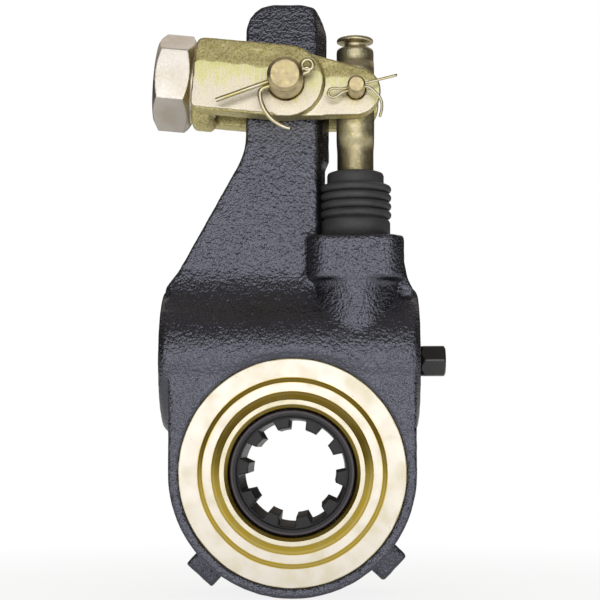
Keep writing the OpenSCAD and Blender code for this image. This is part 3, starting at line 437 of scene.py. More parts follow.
# %% [markdown]
# ## A painted highlight on the gear
# A thin paler line is painted round the end of the gear's hub: a painted highlight where the
# rounded edge of the hub catches the light. Its place depends only on the distance from the bore's
# axis, so the node graph measures that distance and mixes in a lighter colour close to one radius.

# %% A painted highlight on the gear
HIGHLIGHT_R, LINE_IN, LINE_OUT = 21.45, 0.15, 0.5


def from_bore(tree, place):
    feeds = {0: place, 1: (1.0 / MM, 0.0, 1.0 / MM)}
    flat = grow(tree, "ShaderNodeVectorMath", feeds, operation="MULTIPLY").outputs["Vector"]
    return grow(tree, "ShaderNodeVectorMath", {0: flat}, operation="LENGTH").outputs["Value"]


tree, shader = gear_steel.node_tree, shader_of(gear_steel)
black = shader.inputs["Base Color"].links[0].from_socket
radius = from_bore(tree, grow(tree, "ShaderNodeTexCoord", {}).outputs["Object"])
off_line = sums(tree, "ABSOLUTE", sums(tree, "SUBTRACT", radius, HIGHLIGHT_R), 0.0)
# painted highlight: a paler ring near one radius stands in for light on the hub's rounded edge
painted_highlight = spread(tree, off_line, LINE_IN, LINE_OUT, 1.0, 0.0)
marked = blend_colour(tree, painted_highlight, black, (0.13, 0.11, 0.14))
tree.links.new(marked, shader.inputs["Base Color"])
print("rubbed line at radius", HIGHLIGHT_R)

# %% [markdown]
# ## From a crisp solid to a casting
# The solid of the housing has knife-sharp edges, and iron poured in sand never has. Bevelling
# dozens of crossing edges by hand goes wrong where fillets meet. Instead the solid is rebuilt
# from small cubes by a voxel remesh, then smoothed: every edge rounds off by the same amount and
# every inner corner fills, as in a mould.

# %% From a crisp solid to a casting
SAME_POINT = 0.002


def store(mesh, piece):
    mesh.to_mesh(piece.data)
    mesh.free()


def new_piece(name, mesh):
    piece = bpy.data.objects.new(name, bpy.data.meshes.new(name))
    store(mesh, piece)
    scene.collection.objects.link(piece)
    return piece


def solid_copy(node):
    mesh = bmesh.new()
    mesh.from_mesh(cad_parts[node].data)
    bmesh.ops.remove_doubles(mesh, verts=mesh.verts, dist=SAME_POINT * MM)
    return mesh


def relax(mesh, verts, passes):
    for _ in range(passes):
        bmesh.ops.smooth_vert(
            mesh, verts=verts, factor=0.5, use_axis_x=True, use_axis_y=True, use_axis_z=True
        )


def shade_smooth(mesh):
    for face in mesh.faces:
        face.smooth = True


def rounded_copy(name, node, voxel_mm, passes):
    piece = new_piece(name, solid_copy(node))
    cubes = piece.modifiers.new("cubes", "REMESH")
    cubes.mode = "VOXEL"
    cubes.voxel_size = voxel_mm * MM
    bpy.context.view_layer.update()
    solid = piece.evaluated_get(bpy.context.evaluated_depsgraph_get())
    mesh = bmesh.new()
    mesh.from_mesh(solid.to_mesh())
    piece.modifiers.clear()
    relax(mesh, mesh.verts, passes)
    mesh.normal_update()
    shade_smooth(mesh)
    return piece, mesh


casting, mesh = rounded_copy("housing_casting", "housing", voxel_mm=0.88, passes=3)
print("points of the casting:", len(mesh.verts))

# %% [markdown]
# ## The arm's top corners
# The two corners at the arm's top are rounder on the real casting than in the solid. A point near
# a corner is drawn in along its ray from the centre of the new round. The share is the new radius
# over the way to the solid's outline in that direction, so that the outline lands on the new round.

# %% The arm's top corners
ARM_ROUND, SOLID_ROUND, ARM_HALF = 10.6, 8.0, 15.0
ARM_TOP = corners("housing")[1].z


def rounder(across, up):
    far = math.hypot(across, up)
    across, up = across / far, up / far
    shift = ARM_ROUND - SOLID_ROUND
    edge = ARM_ROUND / max(across, up)
    if edge * min(across, up) > shift:
        reach = shift * (across + up)
        edge = reach + math.sqrt(reach**2 - 2 * shift**2 + SOLID_ROUND**2)
    return ARM_ROUND / edge


def round_corner(v):
    p = v.co / MM
    side = math.copysign(1.0, p.x - EYE.x)
    centre = Vector((EYE.x + side * (ARM_HALF - ARM_ROUND), 0.0, ARM_TOP - ARM_ROUND))
    across, up = side * (p.x - centre.x), p.z - centre.z
    if across > 0 and up > 0:
        share = rounder(across, up)
        v.co.x = (centre.x + side * across * share) * MM
        v.co.z = (centre.z + up * share) * MM


print("share half way round a corner:", round(rounder(1.0, 1.0), 3))

# %% [markdown]
# ## The arm's right side
# The solid has a scoop in the arm's right side, which leaves room for the boot. On the real arm the
# edge runs straight on, and makes room only beside the boot itself. A point's shift is the
# difference between the side that is wanted and the side that the solid has, both at the point's
# height and depth, and it fades towards the arm's middle.

# %% The arm's right side
ARM_FRONT, ARM_BACK = EYE.y - 7.0, EYE.y + 7.0
SIDE_FROM, SIDE_FRONT, SIDE_BACK = EYE.x + 7.0, EYE.x + 11.3, EYE.x + 15.0
SOLID_FRONT = EYE.x + 10.0
SCOOP_R, SCOOP_TOP, SCOOP_FADE = 14.5, 134.2, 0.9
ROOM_R, ROOM_LOW, ROOM_FADE, ROOM_DEEP = 13.4, boot_high.z + 2.0, 3.0, 7.0


def between(value, low, high):
    return min(1.0, max(0.0, (value - low) / (high - low)))


def arm_side(p):
    depth = between(p.y, ARM_FRONT, ARM_BACK)
    behind = min(ROOM_DEEP, abs(p.y - BOOT_FOOT.y))
    solid = SOLID_FRONT + depth * (SIDE_BACK - SOLID_FRONT)
    hollow = min(solid, BOOT_FOOT.x - math.sqrt(SCOOP_R**2 - behind**2))
    above = between(p.z, SCOOP_TOP - SCOOP_FADE, SCOOP_TOP + SCOOP_FADE)
    have = hollow + (solid - hollow) * above
    cast = SIDE_FRONT + depth * (SIDE_BACK - SIDE_FRONT)
    clear = min(cast, BOOT_FOOT.x - math.sqrt(ROOM_R**2 - behind**2))
    want = clear + (cast - clear) * between(p.z, ROOM_LOW, ROOM_LOW + ROOM_FADE)
    return (want - have) * between(p.x, SIDE_FROM, have)


print("front edge moves out by", round(SIDE_FRONT - SOLID_FRONT, 2), "mm")

# %% [markdown]
# ## The rim and the arm's foot
# The body's rim is crisper than in the solid, so most of its chamfer is filled. The hollow where
# the arm grows out of the tube is longer. In section it is an arc that touches the tube and the
# arm's front, and one function draws it for the solid's small arc and for the casting's large one.

# %% The rim and the arm's foot
TUBE_Z, TUBE_R, SOLID_BLEND, CAST_BLEND = middle("worm_shaft").z, 26.8, 12.0, 26.0
BODY_R, BODY_FACE, RIM, RIM_FILL = 44.0, 26.0, 2.4, 0.85
RIM_TOP, RIM_FADE = 36.0, 4.0


def arm_foot(z, blend):
    rise = math.sqrt((TUBE_R + blend) ** 2 - (blend - ARM_FRONT) ** 2)
    if z > TUBE_Z + rise:
        return ARM_FRONT
    if z > TUBE_Z + rise * TUBE_R / (TUBE_R + blend):
        return ARM_FRONT - blend + math.sqrt(blend**2 - (TUBE_Z + rise - z) ** 2)
    return -math.sqrt(TUBE_R**2 - (z - TUBE_Z) ** 2)


def rim_push(p):
    out = Vector((p.x, 0.0, min(p.z, 0.0)))
    inside, behind = BODY_R - out.length, BODY_FACE - abs(p.y)
    if not (0 < inside < RIM and 0 < behind < RIM):
        return Vector((0.0, 0.0, 0.0))
    share = RIM_FILL * min(inside, behind) * between(RIM_TOP - p.z, 0.0, RIM_FADE)
    return share * (out.normalized() + Vector((0.0, math.copysign(1.0, p.y), 0.0)))


print("blend at the arm's foot:", SOLID_BLEND, "to", CAST_BLEND, "mm")

# %% [markdown]
# ## The casting takes its shape
# Every point of the copy goes through the corrections in turn: the side, the rim, the foot and
# last the corners at the top. Above the eye the arm's front also leans back a little, so that it
# looks past the lamp and goes darker.

# %% The casting takes its shape
LEAN_FROM, LEAN = EYE.z + 7.0, math.tan(math.radians(3.5))
EYE_WALL = 9.7
BLEND_LOW, BLEND_HIGH = TUBE_Z + 10, TUBE_Z + 35
ON_SKIN, OFF_SKIN = 0.3, 0.8
for v in mesh.verts:
    p = v.co / MM
    from_eye = math.hypot(p.x - EYE.x, p.z - EYE.z)
    if p.z > boot_low.z + 1 and SIDE_FROM < p.x < SIDE_BACK + 1 and from_eye > EYE_WALL:
        v.co.x += arm_side(p) * MM
    v.co += rim_push(p) * MM
    if p.y < 0 and BLEND_LOW < p.z < BLEND_HIGH:
        solid_y = arm_foot(p.z, SOLID_BLEND)
        near = between(abs(p.y - solid_y), OFF_SKIN, ON_SKIN)
        v.co.y += near * (arm_foot(p.z, CAST_BLEND) - solid_y) * MM
    if p.z > LEAN_FROM and ARM_FRONT - 1 < p.y < ARM_BACK + 1:
        v.co.y += between(p.y, ARM_BACK, ARM_FRONT) * (p.z - LEAN_FROM) * LEAN * MM
    round_corner(v)
mesh.normal_update()
print("lean at the arm's top:", round((ARM_TOP - LEAN_FROM) * LEAN, 2), "mm")

# %% [markdown]
# ## Cast skin
# Sand leaves an uneven skin. Noise pushes every point in or out a little along its normal, and a
# hair inwards on the whole, so that the part doesn't grow. The seats of the covers stay flat. Then
# the piece is dressed: it gets its finish, the body that it rides on, and the solid that it stands
# for.

# %% Cast skin
SKIN_DEPTH, SKIN_SIZE, SKIN_IN = 0.09, 2.6, 0.03


def dress(piece, body, finish, slot, *nodes):
    piece.data.materials.clear()
    piece.data.materials.append(finish)
    if body:
        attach(piece, body)
    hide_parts(*nodes)
    print(piece.name, "faces:", len(piece.data.polygons), "for", nodes)


for v in mesh.verts:
    p = v.co / MM
    in_seat = math.hypot(p.x, p.z) < COVER_R + 1 and abs(p.y) > COVER_SEAT - 1
    lump = 0.0 if in_seat else SKIN_DEPTH * noise.noise(p / SKIN_SIZE) - SKIN_IN
    v.co += v.normal * lump * MM
store(mesh, casting)
dress(casting, "housing", paint, "black_paint", "housing")

# %% [markdown]
# ## The forged clevis
# The clevis is forged, and then a cutter planes its ears. The cut stops where the forging's draft
# leans away from it, and because the forging is rough the end of the cut is a ragged line. The
# rounded copy is reshaped in the same way: each point of an ear's outer face goes to the rough
# drafted surface or to the cutter's plane, whichever lies deeper. A number stored on each point
# says which of the two it is, so that the finish can tell milled from forged.

# %% The forged clevis
DRAFT = math.tan(math.radians(13.0))
EAR_MILL, END_MILL = 5.0, 4.5
ROUGHNESS = ((0.1, 1.6), (0.5, 5.0))
RAGGED, ON_FACE, FACING = 2.2, 0.25, 0.8
clevis, mesh = rounded_copy("clevis_forging", "clevis", voxel_mm=0.5, passes=3)
milled = mesh.verts.layers.float.new("milled")
for v in mesh.verts:
    p = v.co / MM - EYE
    height = p.dot(UP)
    rough = sum(depth * noise.noise(v.co / MM / size) for depth, size in ROUGHNESS)
    for face, mill in ((EAR_FACE, EAR_MILL), (EAR_FACE - EAR_STEP, END_MILL)):
        forged = face - max(0.0, height - mill) * DRAFT
        if abs(abs(p.y) - forged) < ON_FACE and abs(v.normal.y) > FACING:
            skin = face - (height - mill + RAGGED * rough) * DRAFT
            deep = min(face, skin)
            v.co.y = (EYE.y + math.copysign(deep, p.y)) * MM
            v[milled] = 1.0 if skin > face else 0.0
store(mesh, clevis)
print("clevis points:", len(clevis.data.vertices))

# %% [markdown]
# ## Milled and forged zinc
# On the milled band the plating is pale and smooth, with upright cutter marks where the cut ends.
# On the forged skin it is rough and olive. Where an edge stands out the colour goes brown, as it
# also does along the border of the cut, and the Geometry node's pointiness finds those edges.

# %% Milled and forged zinc
MARK_ACROSS, MARK_UP = 0.0016, 0.0001
MARK_TINT, FLECK_TINT = (0.62, 0.58, 0.38), (0.40, 0.31, 0.20)
milled_tints = [
    (0.0, (0.58, 0.53, 0.43)), (0.4, CREAM), (0.6, (0.54, 0.52, 0.24)), (1.0, (0.48, 0.48, 0.17)),
]
forged_tints = [(0.3, (0.48, 0.42, 0.15)), (0.5, (0.76, 0.68, 0.32)), (0.7, (0.88, 0.80, 0.50))]
forging, tree, shader, place = new_finish("forged_yellow_zinc")
height = distance_along(tree, place, UP, EYE)
along = distance_along(tree, place, ALONG, EYE)
blotch = speckle(tree, place, 4.0, 3.0)
grain = speckle(tree, place, 0.8, 3.0)
feeds = {
    "X": sums(tree, "MULTIPLY", along, MARK_ACROSS), "Z": sums(tree, "MULTIPLY", height, MARK_UP),
}
marks = speckle(tree, grow(tree, "ShaderNodeCombineXYZ", feeds).outputs["Vector"], 1.2, 2.0)
level = sums(tree, "ADD", height, spread(tree, marks, 0.25, 0.75, -8.0, 8.0))
level = sums(tree, "ADD", level, spread(tree, blotch, 0.3, 0.7, -2.5, 2.5))
pale = ramp(tree, spread(tree, level, -10.0, 9.0, 0.0, 1.0), milled_tints)
upper = spread(tree, height, -4.0, 1.5, 0.0, 1.0)
marked = sums(tree, "MULTIPLY", spread(tree, marks, 0.45, 0.65, 0.0, 0.6), upper)
pale = blend_colour(tree, marked, pale, MARK_TINT)
fine = speckle(tree, place, 0.45, 2.0)
pale = blend_colour(tree, spread(tree, fine, 0.5, 0.68, 0.0, 0.55), pale, FLECK_TINT)
skin = ramp(tree, grain, forged_tints)
cut = grow(tree, "ShaderNodeAttribute", {}, attribute_name="milled").outputs["Fac"]
surface = blend_colour(tree, cut, skin, pale)
off_border = sums(tree, "ABSOLUTE", sums(tree, "SUBTRACT", cut, 0.5), 0.0)
border = spread(tree, off_border, 0.1, 0.5, 0.6, 0.0)
surface = blend_colour(tree, border, surface, BROWN)
sharp = grow(tree, "ShaderNodeNewGeometry", {}).outputs["Pointiness"]
surface = blend_colour(tree, spread(tree, sharp, 0.52, 0.58, 0.0, 0.75), surface, BROWN)
tree.links.new(surface, shader.inputs["Base Color"])
tree.links.new(spread(tree, cut, 0.0, 1.0, 0.56, 0.38), shader.inputs["Roughness"])
shader.inputs["Metallic"].default_value = 1.0
relief = sums(tree, "MULTIPLY", grain, spread(tree, cut, 0.0, 1.0, 1.0, 0.2))
bump(tree, shader, relief, 0.1)
dress(clevis, "clevis", forging, "yellow_zinc", "clevis")

# %% [markdown]
# ## The forged rod
# The rod has the same forged skin and softer edges than its solid, so it is rounded like the
# casting, from smaller cubes, and smoothed once more at the shoulder. It was never milled. Its
# colour darkens towards its lower end, by the boot.

# %% The forged rod
SHOULDER_LOW, SHOULDER_HIGH = boot_high.z + 0.5, boot_high.z + 17.0
LOW_END_DARK = (0.20, 0.16, 0.07)
rod, mesh = rounded_copy("rod_forging", "actuator_rod", voxel_mm=0.42, passes=3)
shoulder = [v for v in mesh.verts if SHOULDER_LOW < v.co.z / MM < SHOULDER_HIGH]
relax(mesh, shoulder, passes=30)
store(mesh, rod)
rod_stops = [
    (0.3, (0.45, 0.40, 0.22)), (0.45, (0.54, 0.48, 0.29)), (0.6, (0.60, 0.54, 0.37)), (0.75, CREAM),
]
rod_zinc = zinc(
    "rod_yellow_zinc", rough=0.42, drift_mm=2.2, grain_mm=0.8, depth_mm=0.07, edge_mm=0.2,
    stops=rod_stops
)
tree, shader = rod_zinc.node_tree, shader_of(rod_zinc)
clean = shader.inputs["Base Color"].links[0].from_socket
place = grow(tree, "ShaderNodeTexCoord", {}).outputs["Object"]
level = distance_along(tree, place, Vector((0.0, 0.0, 1.0)), Vector((0.0, 0.0, 0.0)))
# darker towards the lower end, by the boot, in patches
towards_low_end = spread(tree, level, SHOULDER_LOW, SHOULDER_HIGH + 8, 0.8, 0.0)
patches = spread(tree, speckle(tree, place, 1.4, 3.0), 0.3, 0.7, 0.7, 1.0)
darkened_low = blend_colour(tree, sums(tree, "MULTIPLY", towards_low_end, patches), clean, LOW_END_DARK)
tree.links.new(darkened_low, shader.inputs["Base Color"])
dress(rod, "rod", rod_zinc, "yellow_zinc", "actuator_rod")

# %% [markdown]
# ## Pressed covers
# A cover is one ring pressed from sheet: a flat rim, a small step, a flat, a cone up to a crown,
# and a lip turned in round the hub. It is drawn as a section of a few corners. A bevel rounds the
# corners as a press tool does, and one spin about the bore's axis makes the ring.

# %% Pressed covers
SHEET, PRESS_ROUND, COVER_STEPS, BEVEL_MERGE = 1.5, 0.4, 160, 0.005
STEP_R, SHELF_R, CONE_R = COVER_R - 6.8, COVER_R - 8.4, COVER_R - 11.7
CROWN_R, CREST_R, LIP_R = 26.2, 24.0, 22.35
SHELF_H, TOP_H = 2.6, cover_high.y - cover_low.y - 0.7


def loop_of(mesh, points):
    verts = [mesh.verts.new(point) for point in points]
    for a, b in zip(verts, verts[1:] + verts[:1]):
        mesh.edges.new((a, b))
    return verts


def spun(name, points, centre, axis, round_mm, steps):
    mesh = bmesh.new()
    loop_of(mesh, [Vector(point) * MM for point in points])
    if round_mm:
        bmesh.ops.bevel(
            mesh, geom=mesh.verts[:], offset=round_mm * MM, offset_type="OFFSET", affect="VERTICES",
            segments=4, profile=0.5, clamp_overlap=True, material=-1
        )
        bmesh.ops.remove_doubles(mesh, verts=mesh.verts, dist=BEVEL_MERGE * MM)
    bmesh.ops.spin(
        mesh, geom=mesh.verts[:] + mesh.edges[:], cent=Vector(centre) * MM, axis=axis,
        dvec=(0.0, 0.0, 0.0), angle=2 * math.pi, steps=steps, use_merge=True
    )
    bmesh.ops.recalc_face_normals(mesh, faces=mesh.faces)
    shade_smooth(mesh)
    piece = new_piece(name, mesh)
    piece.modifiers.new("even_light", "WEIGHTED_NORMAL")
    return piece


section = [
    (COVER_R, 0.0), (COVER_R, SHEET), (STEP_R, SHEET), (SHELF_R, SHELF_H), (CONE_R, SHELF_H),
    (CROWN_R, TOP_H - 0.5), (CROWN_R - 0.6, TOP_H), (CREST_R, TOP_H), (LIP_R + 0.4, TOP_H - 1.4),
    (LIP_R, TOP_H - 2.6), (LIP_R, SHEET + 0.2), (LIP_R + SHEET, SHEET + 0.2),
    (LIP_R + SHEET, TOP_H - 2.6), (CREST_R + 0.5, TOP_H - SHEET), (CROWN_R - 1.2, TOP_H - SHEET),
    (CONE_R - 0.6, SHELF_H - SHEET), (SHELF_R - 0.7, SHELF_H - SHEET), (STEP_R - 0.7, 0.0),
]
covers = []
for name, side in (("front_cover", -1), ("rear_cover", 1)):
    points = [(r, side * (COVER_SEAT + h), 0.0) for r, h in section]
    pressing = spun(name + "_pressing", points, (0, 0, 0), (0, 1, 0), PRESS_ROUND, COVER_STEPS)
    covers.append(pressing)
print("cover section:", len(section), "corners")

# %% [markdown]
# ## Painted light and shade on the covers
# The covers look cream on the flats and deep gold on every slope, all the way round, because the
# flats face the lamp and the slopes and edges face the dark room. That is painted: the tint follows
# the distance from the axis and not the light, in rings of two colours, with soft borders.

# %% Painted light and shade on the covers
FLAT_SHEEN = (0.62, 0.575, 0.50)
SLOPE_SHADE = (0.50, 0.36, 0.05)
RADIUS_FROM, RADIUS_TO, BORDER_HALF = 20.0, 42.0, 0.15
# painted light and shade: a pale sheen on the flats, dark gold shade on the slopes, olive shade at
# the edges
light_and_shade_bands = [
    (LIP_R + 0.6, OLIVE, SLOPE_SHADE), (CREST_R - 0.1, SLOPE_SHADE, CREAM), (CROWN_R - 0.5, CREAM, SLOPE_SHADE),
    (CONE_R - 1.2, SLOPE_SHADE, GOLD), (CONE_R - 0.4, GOLD, SLOPE_SHADE), (CONE_R + 0.1, SLOPE_SHADE, FLAT_SHEEN),
    (SHELF_R - 0.2, FLAT_SHEEN, SLOPE_SHADE), (SHELF_R + 0.5, SLOPE_SHADE, GOLD), (STEP_R - 0.5, GOLD, SLOPE_SHADE),
    (STEP_R + 0.2, SLOPE_SHADE, FLAT_SHEEN), (COVER_R - 0.3, FLAT_SHEEN, OLIVE),
]
pressed, tree, shader, place = new_finish("pressed_yellow_zinc")
waver = speckle(tree, place, 6.0, 2.0)
radius = sums(tree, "ADD", from_bore(tree, place), spread(tree, waver, 0.3, 0.7, -0.12, 0.12))
stops = []
for border, inside, outside in light_and_shade_bands:
    for edge, colour in ((border - BORDER_HALF, inside), (border + BORDER_HALF, outside)):
        stops.append(((edge - RADIUS_FROM) / (RADIUS_TO - RADIUS_FROM), colour))
tint = ramp(tree, spread(tree, radius, RADIUS_FROM, RADIUS_TO, 0.0, 1.0), stops)
stain = speckle(tree, place, 7.0, 4.0)
pits = spread(tree, speckle(tree, place, 1.1, 2.0), 0.72, 0.76, 0.0, 0.5)
tint = blend_colour(tree, spread(tree, stain, 0.5, 0.75, 0.0, 0.35), tint, STRAW)
tint = blend_colour(tree, pits, tint, BROWN)
tree.links.new(tint, shader.inputs["Base Color"])
tree.links.new(spread(tree, stain, 0.3, 0.7, 0.36, 0.46), shader.inputs["Roughness"])
shader.inputs["Metallic"].default_value = 1.0
bump(tree, shader, stain, 0.02)
for piece in covers:
    dress(piece, "housing", pressed, "yellow_zinc", piece.name.replace("_pressing", ""))

# %% [markdown]
# ## The boot
# The boot is a rubber bellows: a wide foot on the boss, four round folds, and a collar that grips
# the rod. Its section is walked upwards on the outside, one arc per fold, and back down on the
# inside, then spun.

# %% The boot
FOOT_R, FOOT_H, COLLAR_R, COLLAR_H, FOLDS = 12.75, 7.2, 10.45, 4.6, 4
FOLD_R_OUT = (boot_high.x - boot_low.x) / 2
ROD_R, WALL, GROOVE, BULGE = 6.82, 1.6, 0.9, 0.46
ARC_STEPS, ARC_STEP, BOOT_STEPS = 5, 18.0, 96
pitch = (BOOT_H - FOOT_H - COLLAR_H) / FOLDS
bulge = BULGE * pitch
ring = FOLD_R_OUT - bulge
section = [(ROD_R + 3.2, 0.0), (FOOT_R, 0.0), (FOOT_R, FOOT_H - 1.4)]
section += [(FOOT_R - 0.25, FOOT_H - 0.7), (FOOT_R - 0.9, FOOT_H - 0.2)]
for fold in range(FOLDS):
    centre = FOOT_H + (fold + 0.5) * pitch
    section.append((ring - GROOVE, centre - pitch / 2 + 0.08))
    for step in range(-ARC_STEPS, ARC_STEPS + 1):
        lean = math.radians(ARC_STEP * step)
        section.append((ring + bulge * math.cos(lean), centre + bulge * math.sin(lean)))
    section.append((ring - GROOVE, centre + pitch / 2 - 0.08))
collar_low = BOOT_H - COLLAR_H
inner = ring - GROOVE - WALL
section += [
    (COLLAR_R - 0.3, collar_low + 0.1), (COLLAR_R, collar_low + 0.8), (COLLAR_R, BOOT_H - 1.2),
    (COLLAR_R - 0.35, BOOT_H - 0.35), (COLLAR_R - 1.2, BOOT_H), (ROD_R, BOOT_H),
    (ROD_R, collar_low), (inner, collar_low), (inner, FOOT_H),
]
points = [BOOT_FOOT + Vector((r, 0.0, h)) for r, h in section]
boot = spun("boot_bellows", points, BOOT_FOOT, (0, 0, 1), 0.0, BOOT_STEPS)
boot.modifiers.clear()
dress(boot, "", rubber, "rubber", "boot")
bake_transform(boot)

# %% [markdown]
# ## The small split cotter
# A split cotter is one wire folded back on itself: a drop-shaped eye, a straight leg, and a leg
# bent round the pin. A curve with automatic handles bends like wire does, and its bevel gives the
# wire its thickness. The path is drawn flat, from the pin's middle, with the eye ahead.

# %% The small split cotter
WIRE_R, WIRE_GAP, WIRE_MERGE = 0.5, 0.51, 0.01
TURN = math.radians(160.0)
ahead = math.cos(TURN) * ALONG - math.sin(TURN) * UP
across = -math.sin(TURN) * ALONG - math.cos(TURN) * UP
eye_side = [(3.5, WIRE_GAP), (5.5, 0.66), (7.0, 1.3), (8.6, 1.62), (9.9, 1.0)]
straight_leg = [(-15.2, WIRE_GAP), (-5.0, WIRE_GAP)]
bent_leg = [
    (-1.0, -WIRE_GAP), (-3.4, -0.75), (-5.0, -1.9), (-6.2, -3.8), (-7.3, -6.3), (-6.9, -9.7),
    (-5.4, -12.6),
]
path = straight_leg + eye_side + [(10.3, 0.0)]
path += [(u, -w) for u, w in reversed(eye_side)] + bent_leg
wire = bpy.data.curves.new("small_cotter_path", "CURVE")
wire.dimensions = "3D"
wire.bevel_depth = WIRE_R * MM
wire.bevel_resolution = 4
wire.use_fill_caps = True
spline = wire.splines.new("BEZIER")
spline.bezier_points.add(len(path) - 1)
hole = middle("small_cotter").y
start = Vector((middle("small_pin").x, hole, middle("small_pin").z))
for knot, (u, w) in zip(spline.bezier_points, path):
    knot.co = (start + ahead * u + across * w) * MM
    knot.handle_left_type = knot.handle_right_type = "AUTO"
bent = bpy.data.objects.new("small_cotter_path", wire)
scene.collection.objects.link(bent)
bpy.context.view_layer.update()
mesh = bmesh.new()
mesh.from_mesh(bent.evaluated_get(bpy.context.evaluated_depsgraph_get()).to_mesh())
bpy.data.objects.remove(bent)
bmesh.ops.remove_doubles(mesh, verts=mesh.verts, dist=WIRE_MERGE * MM)
bmesh.ops.recalc_face_normals(mesh, faces=mesh.faces)
shade_smooth(mesh)
cotter = new_piece("small_cotter_wire", mesh)
dress(cotter, "clevis", wire_zinc, "yellow_zinc", "small_cotter")

# %% [markdown]
# ## The thread in the collar
# A push rod screws into the collar, so its hole is threaded. A thread is a small triangle carried
# round the axis while it moves along it: the same spin as before with a shift at every step. The
# ridge starts behind the chamfer of the hole and its foot is sunk a little into the wall.

# %% The thread in the collar
HOLE_R, RIDGE, SUNK, PITCH, TURN_STEPS = 7.2, 0.62, 0.08, 1.5, 48


def wind(mesh, centre, axis, pitch_mm, turns, sides):
    bmesh.ops.spin(
        mesh, geom=mesh.verts[:] + mesh.edges[:], cent=centre * MM, axis=axis,
        dvec=axis * (pitch_mm / TURN_STEPS * MM), angle=2 * math.pi * turns,
        steps=turns * TURN_STEPS, use_merge=False
    )
    bmesh.ops.holes_fill(mesh, edges=mesh.edges, sides=sides)
    bmesh.ops.recalc_face_normals(mesh, faces=mesh.faces)


reach = [(v.co / MM - EYE).dot(ALONG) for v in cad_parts["clevis_collar"].data.vertices]
thread_from, thread_to = min(reach) + 1.6, max(reach) - 1.0
turns = int((thread_to - thread_from) / PITCH)
mesh = bmesh.new()
foot_r, crest_r = HOLE_R + SUNK, HOLE_R - RIDGE
ridge = [(-0.7, foot_r), (-0.08, crest_r), (0.08, crest_r), (0.7, foot_r)]
loop_of(mesh, [(EYE + ALONG * (thread_from + t) + UP * r) * MM for t, r in ridge])
wind(mesh, EYE, ALONG, PITCH, turns, sides=len(ridge))
thread = new_piece("collar_thread", mesh)
thread_zinc = zinc(
    "thread_yellow_zinc", rough=0.36, drift_mm=9.0, grain_mm=0.8, depth_mm=0.01, edge_mm=0.05,
    stops=collar_stops
)
thread.data.materials.append(thread_zinc)
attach(thread, "clevis")
print("thread turns:", turns, "faces:", len(thread.data.polygons))

# %% [markdown]
# ## The pawl's spring
# Behind the pawl sits a small compression spring. A ring of points carried round in the same way
# gives its coil.

# %% The pawl's spring
SPRING_WIRE_R, SPRING_R, SPRING_TURNS, WIRE_SIDES = 0.55, 3.4, 4, 12
spring_low, spring_high = corners("pawl_spring")
spring_mid = middle("pawl_spring")
coil_from, coil_to = spring_low.y + SPRING_WIRE_R, spring_high.y - SPRING_WIRE_R
mesh = bmesh.new()
bmesh.ops.create_circle(mesh, segments=WIRE_SIDES, radius=SPRING_WIRE_R * MM, cap_ends=False)
side_on = Vector((spring_mid.x + SPRING_R, coil_from, spring_mid.z)) * MM
bmesh.ops.translate(mesh, verts=mesh.verts, vec=side_on)
spring_pitch = (coil_to - coil_from) / SPRING_TURNS
wind(mesh, spring_mid, Vector((0.0, 1.0, 0.0)), spring_pitch, SPRING_TURNS, sides=WIRE_SIDES)
for face in mesh.faces:
    face.smooth = len(face.verts) < WIRE_SIDES
spring = new_piece("pawl_spring_coil", mesh)
dress(spring, "", bare_steel, "bare_steel", "pawl_spring")
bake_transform(spring)

# %% [markdown]
# ## The adjusting hex
# The worm may stop at any angle, and here it has stopped with one edge of its hex to the front, so
# that the edge catches the light and the flats stay dark. A copy of the shaft is cut through the
# round neck inside the tube, its hex end is turned by half a flat, and both cuts are closed.

# %% The adjusting hex
HEX_END, NECK = 11.5, 2.3
HALF_FLAT = Matrix.Rotation(math.radians(30.0), 3, "X")
shaft_mid, shaft_tip = middle("worm_shaft") * MM, corners("worm_shaft")[1].x
cut_x = (shaft_tip - HEX_END) * MM
hex_from = (shaft_tip - HEX_END + NECK) * MM
mesh = solid_copy("worm_shaft")
parts = mesh.verts[:] + mesh.edges[:] + mesh.faces[:]
made = bmesh.ops.bisect_plane(
    mesh, geom=parts, plane_co=(cut_x, 0.0, 0.0), plane_no=(1.0, 0.0, 0.0)
)
cut_edges = [part for part in made["geom_cut"] if isinstance(part, bmesh.types.BMEdge)]
bmesh.ops.split_edges(mesh, edges=cut_edges)
turned = [v for v in mesh.verts if min(f.calc_center_median().x for f in v.link_faces) > cut_x]
bmesh.ops.rotate(mesh, verts=turned, cent=shaft_mid, matrix=HALF_FLAT)
open_edges = [edge for edge in mesh.edges if edge.is_boundary]
bmesh.ops.holes_fill(mesh, edges=open_edges, sides=0)
print("points turned:", len(turned), "edges closed:", len(open_edges))

# %% [markdown]
# ## Worn edges
# Wrenches round the edges of a hex. Two cuts run beside each edge, and the edge between them is
# pushed in. A cut runs right across the hex and so beside two edges, and three turns of the pair
# are enough for all six. Last, the cone where the hex leaves the neck is drawn out longer.

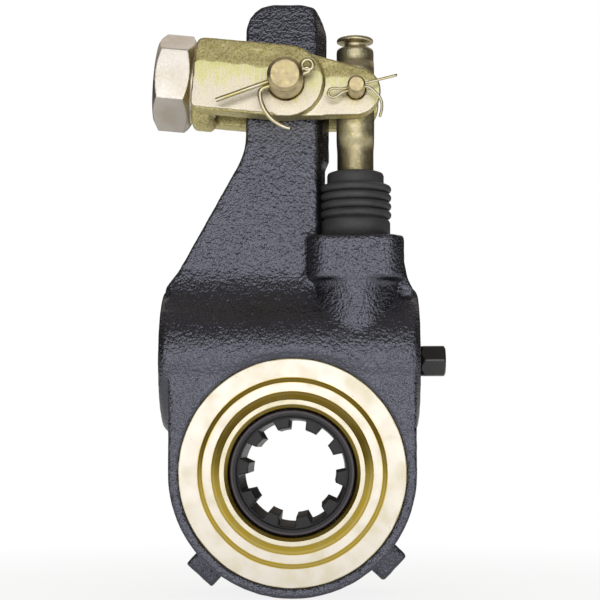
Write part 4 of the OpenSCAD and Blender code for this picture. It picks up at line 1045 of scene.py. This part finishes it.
# %% Worn edges
EDGE_HALF, EDGE_WEAR, ON_EDGE = 0.6, 0.19, 0.01
CONE_LENGTH, CONE_STRETCH = 0.6, 3.4
SHARP = math.radians(35.0)
for turn in (0.0, 60.0, 120.0):
    across = Matrix.Rotation(math.radians(turn), 3, "X") @ Vector((0.0, 0.0, 1.0))
    for side in (-EDGE_HALF, EDGE_HALF):
        faces = [f for f in mesh.faces if f.calc_center_median().x > hex_from]
        parts = list(dict.fromkeys(part for f in faces for part in (*f.verts, *f.edges, f)))
        beside = shaft_mid + across * side * MM
        bmesh.ops.bisect_plane(mesh, geom=parts, plane_co=beside, plane_no=across)
hex_end = [v for v in mesh.verts if v.co.x > hex_from]
axis_off = [(v, Vector((0.0, v.co.y - shaft_mid.y, v.co.z - shaft_mid.z))) for v in hex_end]
hex_r = max(off.length for v, off in axis_off)
for v, off in axis_off:
    if off.length > hex_r - ON_EDGE * MM:
        v.co -= off.normalized() * EDGE_WEAR * MM
cone_from = min(v.co.x for v in hex_end)
for v in hex_end:
    if v.co.x < cone_from + CONE_LENGTH * MM:
        v.co.x = cone_from + CONE_STRETCH * (v.co.x - cone_from)
bmesh.ops.recalc_face_normals(mesh, faces=mesh.faces)
shade_smooth(mesh)
for edge in mesh.edges:
    edge.smooth = edge.calc_face_angle(0.0) < SHARP
shaft = new_piece("worm_shaft_turned", mesh)
shaft.modifiers.new("even_light", "WEIGHTED_NORMAL").keep_sharp = True
dress(shaft, "worm", oiled_steel, "dark_steel", "worm_shaft")

# %% [markdown]
# ## Finishes for the solids that stay
# Turned pins, bushings and gears are already right as solids. They only take a finish.

# %% Finishes for the solids that stay
KEPT = {
    pin_zinc: ("large_pin", "small_pin"),
    turned_zinc: ("grease_fitting",),
    wire_zinc: ("large_cotter",),
    collar_zinc: ("clevis_collar",),
    gear_steel: ("worm_gear",),
    oiled_steel: ("worm_plug", "retaining_ring", "roller_pin", "pawl_cap"),
    bare_steel: ("actuator_sleeve", "piston", "pawl"),
    bronze: (
        "arm_bushing", "front_gear_bushing", "rear_gear_bushing", "worm_bushing", "pawl_gasket",
    ),
    rubber: ("front_seal", "rear_seal", "worm_seal"),
}
for finish, nodes in KEPT.items():
    for node in nodes:
        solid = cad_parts[node]
        solid.data.materials.clear()
        solid.data.materials.append(finish)
print("kept solids:", sum(len(nodes) for nodes in KEPT.values()))
